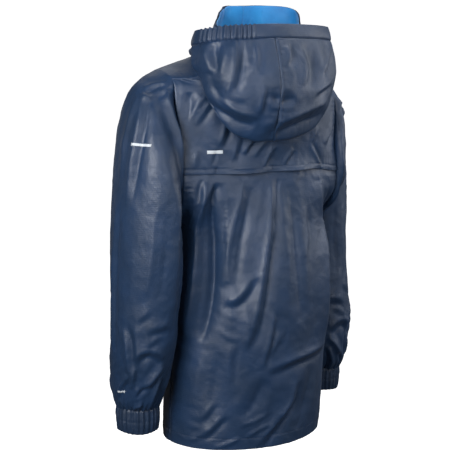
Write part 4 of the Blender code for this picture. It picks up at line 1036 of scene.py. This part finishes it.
HOOD_FOLDS = (
    (((101, 3), (104, -14), (103, -36)), 3.5, 4.5, 1),
    (((86, 4), (92, -20), (100, -40)), (7, 4), -4),
    (((73, 5), (76, -16), (81, -36), (88, -61)), 4.5, 5.5, 1),
    (((94, 0), (97, -23), (94, -46)), 6, -2.5),
    (((51, 4), (52, -14), (58, -35)), 4, 2.6, 1),
    (((63, 3), (63, -10), (66, -25)), 3, 1.8, 1),
    (((109, -33), (103, -57), (89, -71), (71, -77)), 5, 4),
    (((54, -98), (77, -91), (95, -77), (105, -60)), 7, 6.5, 1),
    (((47, -51), (49, -70), (49, -87)), 3, 3.5, 1),
    (((5, 2), (4, -12), (11, -26)), 4, 4, 1),
    (((-22, 0), (-30, -26), (-26, -52)), (14, 5), 4),
    (((42, -62), (24, -71), (2, -70)), (9, 4.5), 5),
    (((-72, -84), (-27, -93), (7, -102), (45, -110)), 9, 6, 1),
    (((-81, -8), (-73, -24), (-55, -39)), 3.5, 3, 1),
    (((-78, -53), (-53, -60), (-37, -66)), 3.5, 3, 1),
    (((-29, -6), (-28, -32), (-20, -55)), 9, 2.6, 1),
)


def hood_line(angle):
    """Section of the hood: from the neck seam, down, under the pouch and up to its rim."""
    keys = read_table(HOOD, abs(angle))[0]
    cos, sin = math.cos(math.radians(angle)), math.sin(math.radians(angle))
    reach = 1 / math.hypot(sin / NECK_WIDE, cos / NECK_DEEP)
    low = smooth((0, 42, 90, 138, 180), (-14, -12, -9, -22, -34), abs(angle))[0]
    keys = np.concatenate([(reach + 2.2, low + 1.4), keys]).reshape(-1, 2)
    knots = lengths_along(keys)
    line = smooth(knots, keys, np.linspace(0, knots[-1], 120))
    part = np.linspace(0, 1, 120)
    shift = HOOD_SHIFT * np.clip(part * 2, 0, 1) * max(0.0, cos) ** 2
    return np.stack([line[:, 0] * sin + shift, NECK_Y + line[:, 0] * cos, line[:, 1]], axis=1)


def hood_cloth(angles, casing):
    """Bare form of the hood up to its casing, or of the casing, at angles round the neck."""
    columns = []
    for turn in angles:
        line = hood_line(turn)
        reach = lengths_along(line)
        seam = reach[-1] - CASING_DEPTH
        if casing:
            at = seam - 1.0 + (CASING_DEPTH + 1.0) * casing_part
        else:
            at = seam * hood_part
        columns.append(read_line(at, reach, line))
    return np.array(columns).transpose(1, 0, 2)


hood_part = spaced(0, 1, 84, near=(0.006, 0.014))
casing_part = spaced(0, 1, 12, near=(0.03, 0.06))
hood_angles = spaced(0, HOOD_END, 96, near=(0.5, 1.1))
gather_seed = np.random.default_rng(7)
gather_places = np.linspace(0, 1, GATHERS + 1)
gather_places[1:-1] += gather_seed.uniform(-0.022, 0.022, GATHERS - 1)
gather_sizes = gather_seed.uniform(0.65, 1.15, GATHERS + 1)


def gather_wave(turn):
    """Height between 0 and 1 of the elastic's gathers at an angle, and their size."""
    along = (GATHER_FROM - np.asarray(turn, float)) / (GATHER_FROM - GATHER_TO)
    phase = np.interp(along, gather_places, np.arange(GATHERS + 1))
    size = np.interp(along, gather_places, gather_sizes)
    fade = ease(along, -0.02, 0.08) * (1 - ease(along, 0.92, 1.02))
    return (1 - np.abs(np.cos(math.pi * phase)) ** 1.5) * fade * size, fade


hood_seams = []
for side, sign in (("left", 1), ("right", -1)):
    angles = hood_angles[::-1] if sign > 0 else -hood_angles
    pouch = hood_cloth(angles, False)
    normals = grid_normals(pouch)
    away_first, away_last, from_neck, from_casing = edge_distances(pouch)
    from_seam = away_last if sign > 0 else away_first
    from_end = away_first if sign > 0 else away_last
    outer_part = ease(np.broadcast_to(hood_part[:, None], pouch.shape[:2]), 0.40, 0.52)
    free = near_seam(from_seam, from_neck, from_end, width=6.0)
    x, z = pouch[..., 0], pouch[..., 2]
    height = fold_height(x, z, HOOD_FOLDS) * outer_part * free * ease(from_casing, 0, 5)
    uneven = slack(x + 0.6 * pouch[..., 1], z, 101, 1.1)
    height += uneven * free * ease(from_casing, 0, 8) * (0.3 + 0.7 * outer_part)
    wave, fade = gather_wave(angles)
    spread = np.broadcast_to(wave[None, :], pouch.shape[:2])
    height += (spread - 0.45) * fade * 2.4 * np.exp(-from_casing / 17)
    height += puckers(from_neck, from_seam, 103 + sign, pitch=5.5, height=1.0) * outer_part
    height -= seam_dip(from_seam, from_casing)
    if sign < 0:      # the seam's allowance is felled to the right and topstitched there
        height += 0.5 * ease(from_seam, 7.0, 5.0) * ease(from_seam, 0.2, 1.5)
        height -= 0.45 * np.exp(-((from_seam - FELL_STITCH) / 0.8) ** 2)
    face = pouch + normals * height[..., None]
    piece = cloth("hood_%s_cloth" % side, face.reshape(-1, 3), grid_faces(*pouch.shape[:2]), navy)
    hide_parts("hood_" + side)
    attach(piece, "jacket")
    if sign < 0:
        shown = grid_normals(face)
        shown *= np.sign(np.sum(shown * normals, axis=2))[..., None]
        down = np.arange(30, len(hood_part) - 1)
        column = [np.interp(FELL_STITCH, from_seam[row], np.arange(pouch.shape[1])) for row in down]
        hood_seams.append(lines_on(face, shown, down, column))

angles = np.concatenate([np.linspace(HOOD_END, GATHER_FROM, 46, endpoint=False),
                         np.linspace(GATHER_FROM, GATHER_TO, GATHERS * 11, endpoint=False),
                         np.linspace(GATHER_TO, -HOOD_END, 96)])
band = hood_cloth(angles, True)
normals = grid_normals(band)
wave, fade = gather_wave(angles)
across = np.broadcast_to(casing_part[:, None], band.shape[:2])
away_first, _, from_stitches, from_rim = edge_distances(band)
height = CASING_LIFT + 0.9 * np.sin(math.pi * across) + 0 * band[..., 0]
height += (wave * 2.6 - 0.9 * fade)[None, :] * (0.75 + 0.25 * np.sin(math.pi * across))
height += slack(away_first, from_rim, 111, 0.5) * np.sin(math.pi * across)
height -= 1.5 * np.exp(-(from_stitches / 1.6) ** 2)
casing_face = band + normals * height[..., None]
casing_face[..., 2] += (wave - 0.5 * fade) * 1.5 * ease(casing_part, 0.6, 1.0)[:, None]
casing = cloth("hood_casing_cloth", casing_face.reshape(-1, 3), grid_faces(*band.shape[:2]), navy,
               wall=2.4)
columns = np.arange(1, len(angles) - 1)
hood_seams.append(lines_on(casing_face, normals, np.full(len(columns), 2.0), columns))
hood_stitches = stitching("hood_stitching", hood_seams, navy_thread)
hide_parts("hood_casing")
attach(casing, "jacket")
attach(hood_stitches, "jacket")

# ---------------------------------------------------------------- cuffs
# Each sleeve ends in a band of the same nylon, turned in over a ring of elastic and
# gathered by it into short upright pleats of uneven width.
CUFF_DEPTH = 33.0
CUFF_TUCK = 2.0              # how far the band goes up inside the sleeve's end
CUFF_PLEATS = 26
elastic_navy = coated_nylon("coated navy nylon over elastic", "10233a", "152b46", crinkle=1.6)
for side, right in (("left", False), ("right", True)):
    ring = sleeve_tube(np.array([12.0]), right)[0]
    middle = ring.mean(axis=0)
    reach = np.abs(ring - middle).max(axis=0)
    count = CUFF_PLEATS * 11
    turn = 2 * math.pi * np.arange(count) / count
    uneven = np.random.default_rng(17 + right)
    marks = np.arange(CUFF_PLEATS + 1) + np.append(uneven.uniform(-0.22, 0.22, CUFF_PLEATS), 0)
    marks[0] = 0
    sizes = uneven.uniform(0.6, 1.2, CUFF_PLEATS)
    phase = np.interp(turn / (2 * math.pi) * CUFF_PLEATS, marks, np.arange(CUFF_PLEATS + 1))
    tall = np.interp(phase, np.arange(CUFF_PLEATS + 1), np.append(sizes, sizes[0]))
    pleat = (1 - np.abs(np.cos(math.pi * phase)) ** 1.4) * tall
    part = spaced(0, 1, 22, near=(0.015,))
    swell = 0.55 + 0.45 * np.sin(math.pi * np.clip(part, 0, 1)) ** 0.6
    grid = np.empty((len(part), count, 3))
    grid[..., 0] = middle[0] + (reach[0] - 1.0 * part[:, None]) * np.cos(turn)
    grid[..., 1] = middle[1] + (reach[1] - 1.0 * part[:, None]) * np.sin(turn)
    grid[..., 2] = (middle[2] + CUFF_TUCK - (CUFF_DEPTH + CUFF_TUCK) * part[:, None]
                    + 0.8 * np.sin(3 * turn + 1 + right) * part[:, None])
    normals = -grid_normals(grid, ring=True)
    sway = crumple(np.broadcast_to(phase * 9, grid.shape[:2]), grid[..., 2], 11, 121 + right)
    height = (pleat * 2.5)[None, :] * swell[:, None] * (0.8 + 0.35 * sway) - 0.3
    height -= 0.9 * np.exp(-(part * CUFF_DEPTH / 1.8) ** 2)[:, None]
    height -= 0.7 * np.exp(-(((part - 0.5) * CUFF_DEPTH) / 1.4) ** 2)[:, None] * 0.6
    height += 0.9 * np.sin(math.pi * part)[:, None]
    face = grid + normals * height[..., None]
    points = face.reshape(-1, 3)
    faces = [tuple(reversed(quad)) for quad in grid_faces(len(part), count, ring=True)]
    if right:
        points = right_side(points)
    piece = cloth("cuff_%s_cloth" % side, points, faces, elastic_navy, wall=1.4, inside_out=right)
    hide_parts("cuff_" + side)
    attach(piece, "jacket")

# ---------------------------------------------------------------- front zip
# Moulded plastic zip: two woven tapes sewn under the front edges, interlocked teeth, a
# box at the hem, and a painted zinc slider with a loose pull tab at the collar.
front_edge = half_body(spaced(0, HEM_ROW, 138), np.linspace(0, 1, 61)[:3], True, False)
rising = collar[:0:-1, :3]
tape_rows = np.concatenate([rising[:, :1], front_edge[:, :1]])[:, 0]
tape_normals = np.gradient(tape_rows, axis=0) * (0, 1, 1)
tape_normals = unit(np.stack([0 * tape_normals[:, 0], tape_normals[:, 2], -tape_normals[:, 1]], axis=1))

# Herringbone-woven tape, matt and ribbed; its 0.6 mm ribs show as fine lines
zip_tape = plain_finish(
    "navy woven polyester zip tape", linear("0f1829"), linear("1a2740"),
    ("Wave", dict(bands_direction="Z", in_Scale=260.0, in_Distortion=0.6)), (0.4, 0.0003), 0.85)[0]

TAPE_PLACES = (0.15, 1.4, 2.6, 4.8, 7.0, 10.0, 13.0)     # out from the middle of the zip
TAPE_SINK = 1.8                                          # under the front edges
for side, sign in (("left", 1.0), ("right", -1.0)):
    columns = [tape_rows * (0, 1, 1) + (across, 0, 0) - tape_normals * TAPE_SINK
               for across in TAPE_PLACES]
    grid = np.stack(columns, axis=1) * (sign, 1, 1)
    piece = cloth("zip_tape_%s_cloth" % side, grid.reshape(-1, 3), grid_faces(*grid.shape[:2]),
                  zip_tape, wall=0.7, inside_out=sign > 0)
    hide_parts("zip_tape_" + side)
    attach(piece, "jacket")

# Acetal resin: slippery and a little waxy, with the faint mottle of the mould
zip_plastic, shader = plain_finish(
    "moulded acetal zip teeth", linear("111b2e"), linear("182640"),
    ("Noise", dict(in_Scale=700.0, in_Detail=2.0)), (0.2, 0.0001), 0.35)
shader.inputs["IOR"].default_value = 1.48

TOOTH = (3.4, 2.3, 1.5)      # width across the chain, thickness and height
TOOTH_PITCH = 2.4
bpy.ops.object.select_all(action="DESELECT")
bpy.ops.mesh.primitive_cube_add(size=1)
tooth = bpy.context.object
tooth.scale = [side * MM for side in TOOTH]
bpy.ops.object.transform_apply(location=False, rotation=False, scale=True)
bpy.ops.object.mode_set(mode="EDIT")
bpy.ops.mesh.select_all(action="SELECT")
bpy.ops.mesh.bevel(offset=0.0003, segments=1)
bpy.ops.object.mode_set(mode="OBJECT")
tooth_points = np.array([vertex.co[:] for vertex in tooth.data.vertices]) / MM
tooth_faces = [tuple(polygon.vertices) for polygon in tooth.data.polygons]
bpy.data.objects.remove(tooth)

reach = lengths_along(tape_rows)
chain_points, chain_faces = [], []
for number, at in enumerate(np.arange(1.5, reach[-1] - 11.0, TOOTH_PITCH / 2)):
    middle = read_line(at, reach, tape_rows)
    normal = unit(read_line(at, reach, tape_normals))
    side_step = 0.9 * (1 if number % 2 else -1)
    spot = middle * (0, 1, 1) + (side_step, 0, 0) - normal * 1.75
    turn = np.stack([np.array((1.0, 0, 0)), normal, np.cross((1.0, 0, 0), normal)], axis=0)
    chain_faces += [tuple(len(chain_points) + corner for corner in face) for face in tooth_faces]
    chain_points += list(spot + (tooth_points * (1, 1, 0.72)) @ turn)
chain = new_piece("zip_teeth", chain_points, chain_faces, zip_plastic)
chain.data.polygons.foreach_set("use_smooth", [False] * len(chain.data.polygons))
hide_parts("zip_chain")
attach(chain, "jacket")

# Die-cast zinc under a thin baked paint: smooth, with worn bright edges
zip_metal, shader = plain_finish(
    "navy painted zinc", linear("1b2536"), linear("2b3850"),
    ("Noise", dict(in_Scale=900.0, in_Detail=3.0)), (0.25, 0.00012), 0.32)
shader.inputs["Metallic"].default_value = 0.7
for node, finish in (("zip_slider", zip_metal), ("zip_pull", zip_metal), ("zip_box", zip_plastic)):
    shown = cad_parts[node]
    shown.data.materials.clear()
    shown.data.materials.append(finish)
